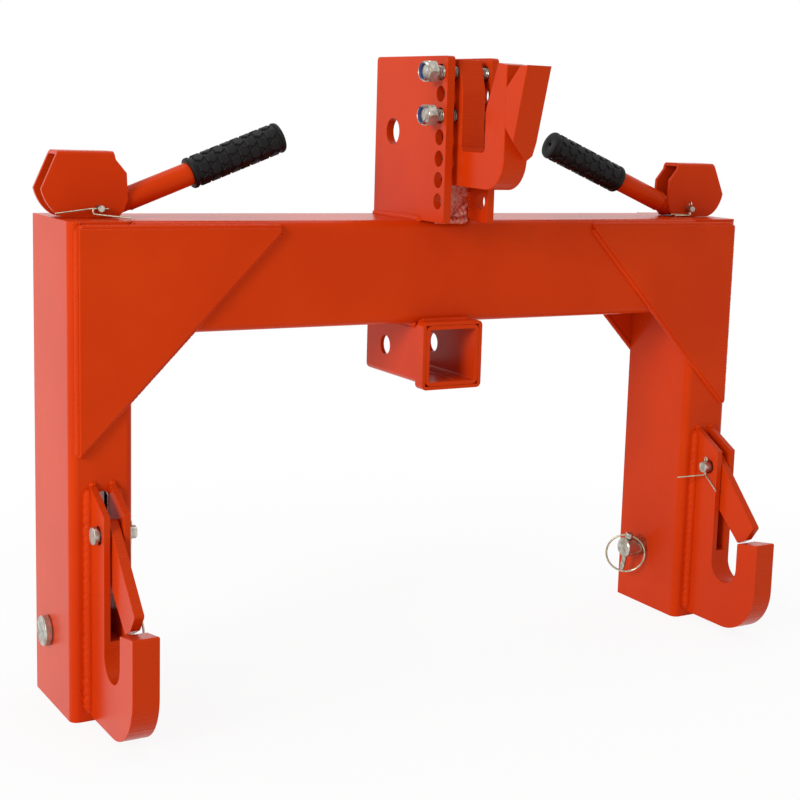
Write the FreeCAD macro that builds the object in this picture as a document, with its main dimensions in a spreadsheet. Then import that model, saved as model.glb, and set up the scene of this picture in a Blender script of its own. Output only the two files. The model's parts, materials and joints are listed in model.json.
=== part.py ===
import FreeCAD, Part
import math
import os
import re

import Sketcher
from FreeCAD import Placement, Rotation, Vector

# Three point quick hitch for a small tractor, in millimetres.
# Frame: +X along the crossbeam to the right leg, +Y back to the tractor, +Z up.
# The origin is on the ground, half way between the legs, in the plane of their front faces.
# The implement side, with its three hooks, is at -Y.

DIMENSIONS = [
    # Frame: two upright channels and a square-cornered crossbeam
    ("overall_width", 740, "outer face to outer face of the legs"),
    ("leg_width", 57, "width of a leg channel"),
    ("leg_depth", 105, "front to back of a leg and of the crossbeam"),
    ("leg_height", 446, "height of the legs and of the top of the crossbeam"),
    ("leg_wall", 6, "plate thickness of the leg channels"),
    ("leg_bend", 8, "outer bend radius of the leg channels"),
    ("beam_height", 100, "height of the crossbeam"),
    ("beam_wall", 6, "wall of the crossbeam"),
    ("beam_corner", 8, "outer corner radius of the crossbeam"),
    ("cap_thickness", 6, "plate that closes the top of a leg"),
    ("gusset_thickness", 6, "corner plates in front of and behind the frame"),
    ("gusset_setback", 7, "from the outer face of the leg to the edge of the gusset"),
    ("gusset_margin", 6, "from the top of the frame to the top edge of the gusset"),
    ("gusset_inner", 176, "from the middle of the hitch to the nose of the gusset"),
    ("gusset_nose", 4, "height of the clipped nose of the gusset"),
    ("gusset_foot", 242, "height of the lowest corner of the gusset"),
    # Receiver tube below the crossbeam
    ("receiver_bore", 51, "square opening of the receiver"),
    ("receiver_wall", 4, "wall of the receiver tube"),
    ("receiver_corner", 6, "outer corner radius of the receiver tube"),
    ("receiver_front", 20, "from the front of the beam to the mouth of the receiver"),
    ("receiver_length", 122, "length of the receiver tube"),
    ("receiver_pin_bore", 19.5, "cross hole for the hitch pin"),
    ("receiver_pin_setback", 83, "from the mouth to the cross hole"),
    ("collar_wall", 3.5, "wall of the square collar round the mouth"),
    ("collar_length", 14, "length of the collar"),
    ("collar_corner", 5, "outer corner radius of the collar"),
    ("collar_gap", 0.2, "gap between the tube and the collar on each side"),
    # Mast
    ("mast_gap", 40, "between the two mast plates"),
    ("mast_plate", 8, "thickness of a mast plate"),
    ("mast_front", 41, "how far the mast plates stand in front of the beam"),
    ("mast_depth", 138, "front to back of a mast plate"),
    ("mast_height", 155, "height of a mast plate above the beam"),
    ("mast_corner", 4, "top corner radius of a mast plate"),
    ("mast_bore", 15, "holes in the front row of a mast plate"),
    ("mast_bore_setback", 12, "from the front edge of the plate to the row"),
    ("mast_bore_lowest", 20, "from the beam to the lowest hole"),
    ("mast_bore_pitch", 20, "pitch of the row of holes"),
    ("mast_bore_count", 7, "holes in the row"),
    ("top_link_bore", 25.7, "hole for the tractor's top link pin"),
    ("top_link_setback", 61.5, "from the front of the beam to the top link hole"),
    ("top_link_rise", 83, "from the beam to the top link hole"),
    ("web_thickness", 8, "plate across the mast"),
    ("web_front", 8, "from the front of the beam to the front of that plate"),
    ("web_height", 150, "height of that plate"),
    # Top hook, its guide and its two bolts
    ("hook_thickness", 25.4, "thickness of the top hook and its guide"),
    ("hook_back", 10, "back of the shank, in front of the beam"),
    ("hook_throat", 43.5, "back wall of the pocket, in front of the beam"),
    ("hook_pocket", 41, "front to back of the pocket"),
    ("hook_front", 118, "front of the nose, in front of the beam"),
    ("hook_floor", 68, "pocket floor, above the beam"),
    ("hook_bottom", 34, "underside of the hook, above the beam"),
    ("hook_top", 152.5, "top of the shank, above the beam"),
    ("hook_slope", 1.5, "rise of the hook's underside towards its back"),
    ("throat_lean", 9, "how far the top of the shank leans back"),
    ("throat_lean_height", 30, "height of that leaning stretch"),
    ("throat_radius", 20, "radius below that leaning stretch"),
    ("hook_pocket_corner", 4, "corner radius of the pocket's floor"),
    ("nose_top", 147, "top of the nose, above the beam"),
    ("nose_crown", 1.7, "back edge of the nose's top above its front edge"),
    ("nose_width", 15, "width of the nose at its top"),
    ("nose_hollow", 25, "radius where the nose starts to lean"),
    ("nose_shoulder", 107, "where the nose starts to lean forward, above the beam"),
    ("hook_heel", 30, "radius under the nose"),
    ("guide_top", 145, "top of the guide, above the beam"),
    ("guide_lip", 12.5, "width of the guide's top edge"),
    ("guide_slope", 1.5, "front edge of the guide's top above its back edge"),
    ("guide_overhang", 33, "front of the guide's top, in front of the nose"),
    ("guide_stand", 14, "front of the guide at its foot, in front of the nose"),
    ("guide_bend", 79, "height of the guide's foot above the beam"),
    ("guide_seat_high", 126.6, "upper end of the guide's seat on the nose"),
    ("tongue_drop", 17, "length of the tongue below the guide's foot"),
    ("tongue_run", 8, "how far the tongue slopes back"),
    ("tongue_corner", 5, "corner cut off the lower right of the tongue"),
    ("bevel_fall", 1.24, "fall of the bevel under the guide, for each millimetre to the right"),
    ("bevel_rise", 0.92, "rise of that bevel, for each millimetre towards the nose"),
    ("bevel_tool", 120, "size of the block that cuts the bevel"),
    ("round_flat", 0.1, "half of the flat between the two roundings of a round end"),
    ("hook_bolt", 12, "bolts through the mast and the top hook"),
    ("hook_bolt_high", 140, "upper bolt, above the beam"),
    ("hook_bolt_low", 100, "lower bolt, above the beam"),
    ("hook_bolt_play", 0.6, "extra diameter of the hook's bolt holes"),
    ("bolt_head", 8, "height of a bolt head"),
    ("bolt_flats", 19, "across flats of bolt heads and nuts"),
    ("bolt_slack", 8, "bare shank between the mast plate and the nut"),
    ("bolt_recess", 2.5, "bolt end, inside the nut's outer face"),
    ("nut_height", 12, "height of a lock nut"),
    ("insert_height", 3, "height of a nut's plastic ring"),
    ("insert_diameter", 16.5, "outside of that ring"),
    # Lower hooks and their latches
    ("lower_thickness", 24, "thickness of a lower hook"),
    ("lower_clearance", 6, "from the ground to the underside of a lower hook"),
    ("lower_reach", 110.5, "front of a lower hook, in front of the leg"),
    ("lower_heel", 50, "front bottom radius of a lower hook"),
    ("pocket_radius", 20, "radius of the lower hook's pocket"),
    ("pocket_reach", 59, "centre of the pocket, in front of the leg"),
    ("pocket_rise", 75, "centre of the pocket, above the ground"),
    ("nose_front_rise", 109, "front of the nose, above the ground"),
    ("nose_back_rise", 103.5, "back of the nose, above the ground"),
    ("nose_front_corner", 2, "corner radius at the front of the nose"),
    ("nose_back_corner", 1.5, "corner radius at the back of the nose"),
    ("fork_rise", 196.5, "front corner of the fork, above the ground"),
    ("fork_back_rise", 217, "top of the fork at the leg, above the ground"),
    ("latch_slot", 12, "slot between the two plates of the fork"),
    ("latch_sweep", 1.4, "room below the latch's sweep"),
    ("pivot_reach", 25, "latch pivot, in front of the leg"),
    ("pivot_rise", 177.5, "latch pivot, above the ground"),
    ("pivot_pin", 12, "latch pivot pin"),
    ("pivot_fit", 0.1, "extra diameter of the holes on that pin"),
    ("pivot_counterbore", 16, "wide mouth of the pivot hole"),
    ("pivot_counterbore_depth", 3, "depth of that wide mouth"),
    ("latch_thickness", 9, "thickness of a latch"),
    ("latch_head", 13, "radius of the latch round its pivot and of its tail end"),
    ("latch_tip_reach", 69.5, "tip of the latch, in front of its pivot"),
    ("latch_tip_drop", 54.7, "tip of the latch, below its pivot"),
    ("latch_toe_reach", 58.5, "lowest corner at the tip, in front of the pivot"),
    ("latch_toe_drop", 69.8, "lowest corner at the tip, below the pivot"),
    ("latch_back_reach", 46, "back corner at the tip, in front of the pivot"),
    ("latch_back_drop", 76.5, "back corner at the tip, below the pivot"),
    ("latch_waist_reach", 9, "waist of the latch, in front of the pivot"),
    ("latch_waist_drop", 44, "waist of the latch, below the pivot"),
    ("latch_corner", 3, "corner radius of the latch's tip"),
    ("latch_toe_corner", 2, "corner radius of the latch's toe"),
    ("latch_hollow", 12, "radius of the latch's waist and of the root of its tail"),
    ("latch_shoulder", 10, "radius above the latch's pivot"),
    ("tail_arm", 52, "pull rod, behind the latch pivot"),
    ("tail_droop", 22.82, "slope of the latch's tail at rest, in degrees"),
    ("tail_slot", 9.4, "width of the slot for the rod's end"),
    ("tail_slot_travel", 5.2, "length that the rod's end slides in that slot"),
    ("leg_slot_low", 100, "lower end of the slot in the leg's front"),
    ("leg_slot_high", 210, "upper end of the slot in the leg's front"),
    # Pull rods and their cam levers
    ("rod_wire", 8, "pull rod"),
    ("rod_inset", 10, "upper stretch of the rod, in from the middle of the leg"),
    ("rod_setback", 52.5, "upper stretch of the rod, behind the leg's front"),
    ("rod_low_inset", 14.5, "lower stretch of the rod, in from the middle of the leg"),
    ("rod_low_bend", 8.5, "bend radius at the rod's foot"),
    ("rod_joggle_low", 320, "start of the rod's joggle"),
    ("rod_joggle_high", 380, "end of the rod's joggle"),
    ("rod_joggle_bend", 40, "bend radius of the joggle"),
    ("rod_play", 1, "gap round the rod where it passes the leg's top plate"),
    ("rod_foot_end", 7, "rod end beyond the latch"),
    ("rod_foot_clip", 3, "split pin, from the rod's end"),
    ("eye_radius", 7.5, "flattened eye at the top of the rod"),
    ("eye_thickness", 6, "thickness of that eye"),
    ("lever_pin", 6.4, "clevis pin of a cam lever"),
    ("lever_fit", 0.1, "extra diameter of the holes on the clevis pin"),
    ("lever_rise", 8.5, "clevis pin, above the leg's top"),
    ("cam_gap", 0.3, "gap below the cam lever when it lies flat"),
    ("cam_lift", 27.25, "rise of the rod for each radian of the lever"),
    ("cam_angle", 77, "part of the turn that the rounded cam edge covers, in degrees"),
    ("housing_width", 26.5, "outside width of the lever's housing"),
    ("housing_plate", 3.5, "plate of the lever's housing"),
    ("housing_fold", 4, "outer fold radius of the housing"),
    ("housing_top", 49.8, "top of the housing, above its pin"),
    ("housing_toe", 18, "lower inner corner of the housing, in from its pin"),
    ("housing_inner", 27, "inner edge of the housing, in from its pin"),
    ("housing_chin_in", 23.5, "lower end of that edge, in from its pin"),
    ("housing_chin", 2, "lower end of that edge, below the pin"),
    ("housing_edge_low", 8, "start of the upright part of that edge, above the pin"),
    ("housing_edge_high", 30.9, "end of that upright part, above the pin"),
    ("housing_edge_lean", 1, "how far the upright part leans out"),
    ("housing_shoulder_in", 16, "shoulder of the housing, in from its pin"),
    ("housing_shoulder", 42.8, "shoulder of the housing, above its pin"),
    ("housing_crown_in", 14.4, "inner end of the housing's top, in from its pin"),
    ("housing_crown_out", 35, "outer end of the housing's top, out from its pin"),
    ("tube_diameter", 21.3, "handle tube"),
    ("tube_wall", 2.3, "wall of the handle tube"),
    ("tube_angle", 21.6, "slope of the handle at rest, in degrees"),
    ("tube_out", 31, "reference point of the tube's axis, in from the pin"),
    ("tube_up", 7.7, "reference point of the tube's axis, above the pin"),
    ("neck_start", 16.5, "start of the neck, before the reference point"),
    ("neck_end", 3, "start of the swage, before the reference point"),
    ("swage_length", 3, "length of the swage"),
    ("grip_start", 62, "start of the grip, past the reference point"),
    ("grip_length", 96, "length of the grip"),
    ("grip_diameter", 29, "grip over its raised pads"),
    ("grip_edge", 2, "rounded edge at the closed end of the grip"),
    ("grip_lip", 1, "rounded edge at the open end of the grip"),
    ("grip_end_wall", 4, "closed end of the grip"),
    ("grip_vent", 4, "vent hole in the closed end of the grip"),
    # Pins and their clips
    ("lever_head", 10.5, "head of a clevis pin"),
    ("lever_head_height", 3, "height of that head"),
    ("lever_head_gap", 0.5, "gap between that head and the housing"),
    ("lever_pin_end", 10, "clevis pin end in front of the housing"),
    ("pivot_head", 16, "head of a latch pivot pin"),
    ("pivot_head_height", 3.5, "height of that head"),
    ("pivot_head_gap", 2.5, "gap between that head and the hook"),
    ("pivot_pin_end", 9, "pivot pin end on the inner side of the hook"),
    ("cotter_wire", 1.6, "wire of a split pin"),
    ("cotter_eye", 5.6, "outside of a split pin's eye"),
    ("cotter_leg", 24, "bent leg of a split pin"),
    ("latch_cotter_leg", 30, "longer leg of the split pin in the right latch pin"),
    ("splayed_leg", 33, "leg of the split pin that lies across the left lever's pin"),
    ("splayed_drop", 4.7, "step of that pin's lower leg, down past the clevis pin"),
    ("cotter_hole", 3.5, "hole for a split pin"),
    ("cotter_spread", 0.7, "from the middle of that hole to the middle of each leg"),
    ("cotter_bend", 2, "bend radius of the legs"),
    ("pin_edge", 0.8, "rounded edge on the ends of pins"),
    ("head_edge", 1.2, "rounded edge on the heads of pins"),
    ("link_pin", 22.2, "lower link pin"),
    ("link_fit", 0.2, "extra diameter of the holes for that pin"),
    ("link_setback", 66, "link pin, behind the leg's front"),
    ("link_rise", 67.6, "link pin, above the ground"),
    ("link_head", 28, "head of a link pin"),
    ("link_head_height", 6, "height of that head"),
    ("link_head_gap", 1, "gap between that head and the leg"),
    ("link_end", 26, "link pin end on the inner side of the leg"),
    ("link_chamfer", 1.5, "chamfer on the end of a link pin"),
    ("linch_setback", 6, "linch pin, from the end of the link pin"),
    ("linch_wire", 5.5, "shank of a linch pin"),
    ("linch_fit", 0.2, "extra diameter of the hole for that shank"),
    ("linch_head", 9, "head of a linch pin"),
    ("linch_head_height", 6.4, "height of that head"),
    ("linch_head_gap", 0.3, "gap between that head and the link pin"),
    ("linch_drop", 29, "linch pin end below the middle of the link pin"),
    ("linch_tip", 2, "chamfer on the tip of a linch pin"),
    ("linch_tilt", 14, "turn of the link pin at rest, in degrees"),
    ("ring_wire", 2.2, "wire of the snap ring"),
    ("ring_diameter", 46, "outside of the snap ring"),
    ("ring_turn_angle", 52, "turn of the right linch pin in its hole at rest, in degrees"),
    ("ring_turn_left_angle", 5, "turn of the left linch pin in its hole at rest, in degrees"),
    ("ring_lean_angle", 6, "lean of the snap ring at rest, in degrees"),
    ("ring_hole", 3.4, "hole in the linch pin's head for the ring"),
]

LEG_CENTRE = "(overall_width/2 - leg_width/2)"
LEG_INNER = "(overall_width/2 - leg_width)"
BEAM_BOTTOM = "(leg_height - beam_height)"
RECEIVER_SIZE = "(receiver_bore + 2*receiver_wall)"
RECEIVER_RISE = f"({BEAM_BOTTOM} - {RECEIVER_SIZE}/2)"
COLLAR_BORE = f"({RECEIVER_SIZE} + 2*collar_gap)"
HOOK_TIP_BACK = "(hook_throat + hook_pocket)"
GUIDE_FOOT = "(hook_front + guide_stand)"
GUIDE_TOP = "(hook_front + guide_overhang)"
HOOK_BOLT_REACH = "(mast_front - mast_bore_setback)"
ROD_ACROSS = f"({LEG_CENTRE} - rod_inset)"
LEVER_RISE = "(leg_height + lever_rise)"
PIN_HALF = "link_pin/2"
TUBE_NECK = "(housing_width/2 - housing_plate)"
SIDES = (("left", -1), ("right", 1))
NAMES = {alias for alias, number, note in DIMENSIONS}

doc = FreeCAD.newDocument("QuickHitch")
sheet = doc.addObject("Spreadsheet::Sheet", "dims")
nodes = []


def fill_sheet():
    """Write every driving dimension into the sheet and give its cell an alias."""
    for row, (alias, number, note) in enumerate(DIMENSIONS, start=1):
        sheet.set(f"A{row}", note)
        sheet.set(f"B{row}", str(number))
        sheet.setAlias(f"B{row}", alias)
    doc.recompute()


def linked(expression):
    """Expression with each alias pointed at the sheet."""
    return re.sub(
        r"[a-z_]+",
        lambda word: f"dims.{word[0]}" if word[0] in NAMES else word[0],
        str(expression),
    )


def value(expression):
    """Number that an expression has now."""
    return float(sheet.evalExpression(linked(expression)))


def bind(thing, prop, expression):
    """Bind a property of an object to the sheet."""
    thing.setExpression(prop, linked(expression))


def finish(thing, label):
    """Name a finished sub-part and put it on the list of nodes."""
    thing.Label = label
    nodes.append(thing)
    return thing


def place(thing, across="0", back="0", up="0", rotation=Rotation()):
    """Turn an object and bind its place to the sheet."""
    thing.Placement = Placement(Vector(), rotation)
    bind(thing, "Placement.Base.x", across)
    bind(thing, "Placement.Base.y", back)
    bind(thing, "Placement.Base.z", up)
    return thing


# Sketches and features

def new_body(label):
    """Empty body that will become the node of that name."""
    return finish(doc.addObject("PartDesign::Body", label), label)


def sketch_on(body, plane, offset="0"):
    """Empty sketch on one of a body's origin planes, moved along its normal."""
    sketch = body.newObject("Sketcher::SketchObject", "Sketch")
    support = next(item for item in body.Origin.OriginFeatures if item.Role == plane)
    sketch.AttachmentSupport = (support, [""])
    sketch.MapMode = "FlatFace"
    bind(sketch, "AttachmentOffset.Base.z", offset)
    return sketch


def hold(sketch, kind, number, expression, *where):
    """Add a dimension to a sketch and bind it to the sheet."""
    index = sketch.addConstraint(Sketcher.Constraint(kind, *where, number))
    bind(sketch, f"Constraints[{index}]", expression)


def hold_point(sketch, geometry, end, corner):
    """Fix a point of a sketch at its two expressions."""
    hold(sketch, "DistanceX", value(corner[0]), corner[0], -1, 1, geometry, end)
    hold(sketch, "DistanceY", value(corner[1]), corner[1], -1, 1, geometry, end)


def rounding(before, corner, after, radius):
    """Arc that rounds a corner: where it starts, where it ends, and the arc."""
    back = (before - corner).normalize()
    ahead = (after - corner).normalize()
    half = back.getAngle(ahead) / 2
    start = corner + back * (radius / math.tan(half))
    end = corner + ahead * (radius / math.tan(half))
    centre = corner + (back + ahead).normalize() * (radius / math.sin(half))
    left_turn = back.cross(ahead).z < 0
    first, last = (start, end) if left_turn else (end, start)
    angles = [math.atan2(point.y - centre.y, point.x - centre.x) for point in (first, last)]
    circle = Part.Circle(centre, Vector(0, 0, 1), radius)
    return start, end, Part.ArcOfCircle(circle, *angles), 1 if left_turn else 2


def outline(sketch, corners):
    """Closed outline through corners (x, y) or (x, y, radius), all expressions."""
    points = [Vector(value(corner[0]), value(corner[1]), 0) for corner in corners]
    count = len(corners)
    arcs = {}
    for index, corner in enumerate(corners):
        if len(corner) == 3:
            following = points[(index + 1) % count]
            arcs[index] = rounding(points[index - 1], points[index], following, value(corner[2]))
    first = sketch.GeometryCount
    for index in range(count):
        after = (index + 1) % count
        start = arcs[index][1] if index in arcs else points[index]
        end = arcs[after][0] if after in arcs else points[after]
        sketch.addGeometry(Part.LineSegment(start, end))
    for index, corner in enumerate(corners):
        before = first + (index - 1) % count
        line = first + index
        if index not in arcs:
            sketch.addConstraint(Sketcher.Constraint("Coincident", before, 2, line, 1))
            hold_point(sketch, line, 1, corner)
            continue
        arc = sketch.addGeometry(arcs[index][2])
        entry = arcs[index][3]
        sketch.addConstraint(Sketcher.Constraint("Tangent", before, 2, arc, entry))
        sketch.addConstraint(Sketcher.Constraint("Tangent", arc, 3 - entry, line, 1))
        hold(sketch, "Radius", value(corner[2]), corner[2], arc)
        sharp = sketch.addGeometry(Part.Point(points[index]), True)
        sketch.addConstraint(Sketcher.Constraint("PointOnObject", sharp, 1, before))
        sketch.addConstraint(Sketcher.Constraint("PointOnObject", sharp, 1, line))
        hold_point(sketch, sharp, 1, corner)


def circle(sketch, across, up, diameter):
    """Circle in a sketch, bound to the sheet."""
    centre = Vector(value(across), value(up), 0)
    ring = sketch.addGeometry(Part.Circle(centre, Vector(0, 0, 1), value(diameter) / 2))
    hold(sketch, "Diameter", value(diameter), diameter, ring)
    hold_point(sketch, ring, 3, (across, up))


def long_hole(sketch, first, second, width):
    """Slot with round ends about two centres, each a pair of expressions."""
    start = Vector(value(first[0]), value(first[1]), 0)
    stop = Vector(value(second[0]), value(second[1]), 0)
    radius = value(width) / 2
    aside = Vector(0, 0, 1).cross((stop - start).normalize()) * radius
    heading = math.atan2(aside.y, aside.x)
    near = Part.ArcOfCircle(Part.Circle(start, Vector(0, 0, 1), radius), heading, heading + math.pi)
    far = Part.ArcOfCircle(Part.Circle(stop, Vector(0, 0, 1), radius), heading - math.pi, heading)
    near_arc, far_arc = sketch.addGeometry([near, far])
    upper, lower = sketch.addGeometry([Part.LineSegment(stop + aside, start + aside),
                                       Part.LineSegment(start - aside, stop - aside)])
    sketch.addConstraint([
        Sketcher.Constraint("Tangent", near_arc, 1, upper, 2),
        Sketcher.Constraint("Tangent", near_arc, 2, lower, 1),
        Sketcher.Constraint("Tangent", far_arc, 1, lower, 2),
        Sketcher.Constraint("Tangent", far_arc, 2, upper, 1),
        Sketcher.Constraint("Equal", near_arc, far_arc),
    ])
    hold(sketch, "Radius", radius, f"({width})/2", near_arc)
    hold_point(sketch, near_arc, 3, first)
    hold_point(sketch, far_arc, 3, second)


def rectangle(sketch, left, bottom, right, top, *radius):
    """Rectangle in a sketch, with one corner radius if it is given."""
    outline(sketch, [(left, bottom, *radius), (right, bottom, *radius),
                     (right, top, *radius), (left, top, *radius)])


def square(sketch, middle, size, radius):
    """Square with rounded corners about a point on the sketch's second axis."""
    rectangle(sketch, f"-{size}/2", f"{middle} - {size}/2", f"{size}/2", f"{middle} + {size}/2",
              radius)


def pad(body, sketch, length, sides="One side"):
    """Pad a sketch along its normal."""
    feature = body.newObject("PartDesign::Pad", "Pad")
    feature.Profile = sketch
    feature.SideType = sides
    bind(feature, "Length", length)
    doc.recompute()
    return feature


def pocket(body, sketch, depth=None, reverse=False):
    """Pocket a sketch through the body both ways, or to a depth, and see that it cut."""
    before = body.Shape.Volume
    feature = body.newObject("PartDesign::Pocket", "Pocket")
    feature.Profile = sketch
    if depth is None:
        feature.Type = "ThroughAll"
        feature.SideType = "Symmetric"
    else:
        feature.Reversed = reverse
        bind(feature, "Length", depth)
    doc.recompute()
    if body.Shape.Volume > before - 1e-3:
        raise RuntimeError(f"{body.Label}: a pocket cut nothing")
    return feature


def turn(body, corners):
    """Revolve a half profile, (along, radius), about the body's X axis."""
    sketch = sketch_on(body, "XY_Plane")
    outline(sketch, corners)
    feature = body.newObject("PartDesign::Revolution", "Revolution")
    feature.Profile = sketch
    feature.ReferenceAxis = (sketch, ["H_Axis"])
    doc.recompute()
    return feature


def solid_feature(label, shape):
    """Node whose shape is worked out here from the sheet's sizes."""
    thing = finish(doc.addObject("Part::Feature", label), label)
    thing.Shape = shape
    return thing


def bent_wire(points, bend, diameter):
    """Round wire through straight runs joined by tangent arcs of one radius."""
    edges = []
    start = points[0]
    for before, corner, after in zip(points, points[1:], points[2:]):
        back = (before - corner).normalize()
        ahead = (after - corner).normalize()
        half = back.getAngle(ahead) / 2
        setback = bend / math.tan(half)
        bisector = (back + ahead).normalize()
        middle = corner + bisector * (bend / math.sin(half) - bend)
        edges.append(Part.LineSegment(start, corner + back * setback).toShape())
        start = corner + ahead * setback
        edges.append(Part.Arc(corner + back * setback, middle, start).toShape())
    edges.append(Part.LineSegment(start, points[-1]).toShape())
    route = Part.Wire(edges)
    heading = points[1] - points[0]
    section = Part.Wire(Part.Circle(points[0], heading, diameter / 2).toShape())
    wire = route.makePipeShell([section], True, True)
    expected = math.pi * diameter**2 / 4 * route.Length
    if abs(wire.Volume - expected) > 0.01 * expected:
        raise RuntimeError("a bent wire came out with the wrong volume")
    return wire


# Frame

def crossbeam():
    """Rectangular tube between the legs, flush with them in front, behind and on top."""
    body = new_body("crossbeam")
    sketch = sketch_on(body, "YZ_Plane")
    rectangle(sketch, "0", BEAM_BOTTOM, "leg_depth", "leg_height", "beam_corner")
    rectangle(sketch, "beam_wall", f"{BEAM_BOTTOM} + beam_wall", "leg_depth - beam_wall",
              "leg_height - beam_wall", "beam_corner - beam_wall")
    pad(body, sketch, f"2*{LEG_INNER}", "Symmetric")


def leg(side, sign):
    """Upright channel, open to the back, with a latch slot and the link pin's holes."""
    body = new_body(f"{side}_leg")
    sketch = sketch_on(body, "XY_Plane")
    inside = "leg_width/2 - leg_wall"
    outline(sketch, [
        ("-leg_width/2", "leg_depth"),
        ("-leg_width/2", "0", "leg_bend"),
        ("leg_width/2", "0", "leg_bend"),
        ("leg_width/2", "leg_depth"),
        (inside, "leg_depth"),
        (inside, "leg_wall", "leg_bend - leg_wall"),
        (f"-({inside})", "leg_wall", "leg_bend - leg_wall"),
        (f"-({inside})", "leg_depth"),
    ])
    pad(body, sketch, "leg_height")
    slot = sketch_on(body, "XZ_Plane")
    long_hole(slot, ("0", "leg_slot_low + latch_slot/2"), ("0", "leg_slot_high - latch_slot/2"),
              "latch_slot")
    pocket(body, slot)
    bores = sketch_on(body, "YZ_Plane")
    circle(bores, "link_setback", "link_rise", "link_pin + link_fit")
    pocket(body, bores)
    place(body, f"{sign}*{LEG_CENTRE}")


def leg_top_plate(side, sign):
    """Plate welded flush into the top of a leg, with the pull rod's hole."""
    body = new_body(f"{side}_leg_top_plate")
    sketch = sketch_on(body, "XY_Plane", "leg_height - cap_thickness")
    half = "leg_width/2 - leg_wall"
    outline(sketch, [
        (f"-({half})", "leg_depth"),
        (f"-({half})", "leg_wall", "leg_bend - leg_wall"),
        (half, "leg_wall", "leg_bend - leg_wall"),
        (half, "leg_depth"),
    ])
    circle(sketch, f"{sign}*({ROD_ACROSS} - {LEG_CENTRE})", "rod_setback", "rod_wire + 2*rod_play")
    pad(body, sketch, "cap_thickness")
    place(body, f"{sign}*{LEG_CENTRE}")


def gusset(side, sign, end):
    """Corner plate welded flat on the front or the back of the frame."""
    body = new_body(f"{side}_{end}_gusset")
    face = "0" if end == "front" else "-(leg_depth + gusset_thickness)"
    sketch = sketch_on(body, "XZ_Plane", face)
    outer = f"{sign}*(overall_width/2 - gusset_setback)"
    inner = f"{sign}*gusset_inner"
    outline(sketch, [
        (outer, "gusset_foot"),
        (outer, "leg_height - gusset_margin"),
        (inner, "leg_height - gusset_margin"),
        (inner, "leg_height - gusset_margin - gusset_nose"),
    ])
    pad(body, sketch, "gusset_thickness")


def receiver():
    """Square receiver tube under the crossbeam and the collar round its mouth."""
    tube = new_body("receiver_tube")
    sketch = sketch_on(tube, "XZ_Plane", "receiver_front - receiver_length")
    square(sketch, RECEIVER_RISE, RECEIVER_SIZE, "receiver_corner")
    square(sketch, RECEIVER_RISE, "receiver_bore", "receiver_corner - receiver_wall")
    pad(tube, sketch, "receiver_length")
    bore = sketch_on(tube, "YZ_Plane")
    circle(bore, "receiver_pin_setback - receiver_front", RECEIVER_RISE, "receiver_pin_bore")
    pocket(tube, bore)

    collar = new_body("receiver_collar")
    sketch = sketch_on(collar, "XZ_Plane", "receiver_front - collar_length")
    square(sketch, RECEIVER_RISE, f"({COLLAR_BORE} + 2*collar_wall)", "collar_corner")
    low = f"{RECEIVER_RISE} - {COLLAR_BORE}/2"
    high = f"{RECEIVER_RISE} + {COLLAR_BORE}/2"
    rectangle(sketch, f"-{COLLAR_BORE}/2", low, f"{COLLAR_BORE}/2", high)
    pad(collar, sketch, "collar_length")


# Mast and top hook

def mast_plate(side, sign):
    """Mast plate with a row of height holes in front and the top link hole behind."""
    body = new_body(f"{side}_mast_plate")
    sketch = sketch_on(body, "YZ_Plane")
    outline(sketch, [
        ("-mast_front", "leg_height"),
        ("mast_depth - mast_front", "leg_height"),
        ("mast_depth - mast_front", "leg_height + mast_height", "mast_corner"),
        ("-mast_front", "leg_height + mast_height", "mast_corner"),
    ])
    circle(sketch, "top_link_setback", "leg_height + top_link_rise", "top_link_bore")
    pad(body, sketch, "mast_plate", "Symmetric")
    hole = sketch_on(body, "YZ_Plane")
    circle(hole, f"-{HOOK_BOLT_REACH}", "leg_height + mast_bore_lowest", "mast_bore")
    cut = pocket(body, hole)
    row = body.newObject("PartDesign::LinearPattern", "Row")
    row.Originals = [cut]
    row.Direction = (next(i for i in body.Origin.OriginFeatures if i.Role == "Z_Axis"), [""])
    bind(row, "Occurrences", "mast_bore_count")
    bind(row, "Length", "mast_bore_pitch*(mast_bore_count - 1)")
    body.Tip = row
    place(body, f"{sign}*(mast_gap + mast_plate)/2")


def mast_web():
    """Plate across the mast, between its two side plates."""
    web = finish(doc.addObject("Part::Box", "mast_web"), "mast_web")
    bind(web, "Length", "mast_gap")
    bind(web, "Width", "web_thickness")
    bind(web, "Height", "web_height")
    place(web, "-mast_gap/2", "-web_front", "leg_height")


def top_hook():
    """Plate hook between the mast plates, open upwards, and the guide on its nose."""
    body = new_body("top_hook")
    sketch = sketch_on(body, "YZ_Plane")
    outline(sketch, [
        ("-hook_back", "leg_height + hook_bottom + hook_slope"),
        ("-hook_back", "leg_height + hook_top"),
        ("-hook_throat + throat_lean", "leg_height + hook_top"),
        ("-hook_throat", "leg_height + hook_top - throat_lean_height", "throat_radius"),
        ("-hook_throat", "leg_height + hook_floor", "hook_pocket_corner"),
        (f"-{HOOK_TIP_BACK}", "leg_height + hook_floor", "hook_pocket_corner"),
        (f"-{HOOK_TIP_BACK}", "leg_height + nose_shoulder", "nose_hollow"),
        ("-hook_front + nose_width", "leg_height + nose_top + nose_crown"),
        ("-hook_front", "leg_height + nose_top"),
        ("-hook_front", "leg_height + hook_bottom", "hook_heel"),
    ])
    pad(body, sketch, "hook_thickness", "Symmetric")
    bores = sketch_on(body, "YZ_Plane")
    for rise in ("hook_bolt_high", "hook_bolt_low"):
        circle(bores, f"-{HOOK_BOLT_REACH}", f"leg_height + {rise}", "hook_bolt + hook_bolt_play")
    pocket(body, bores)


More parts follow.
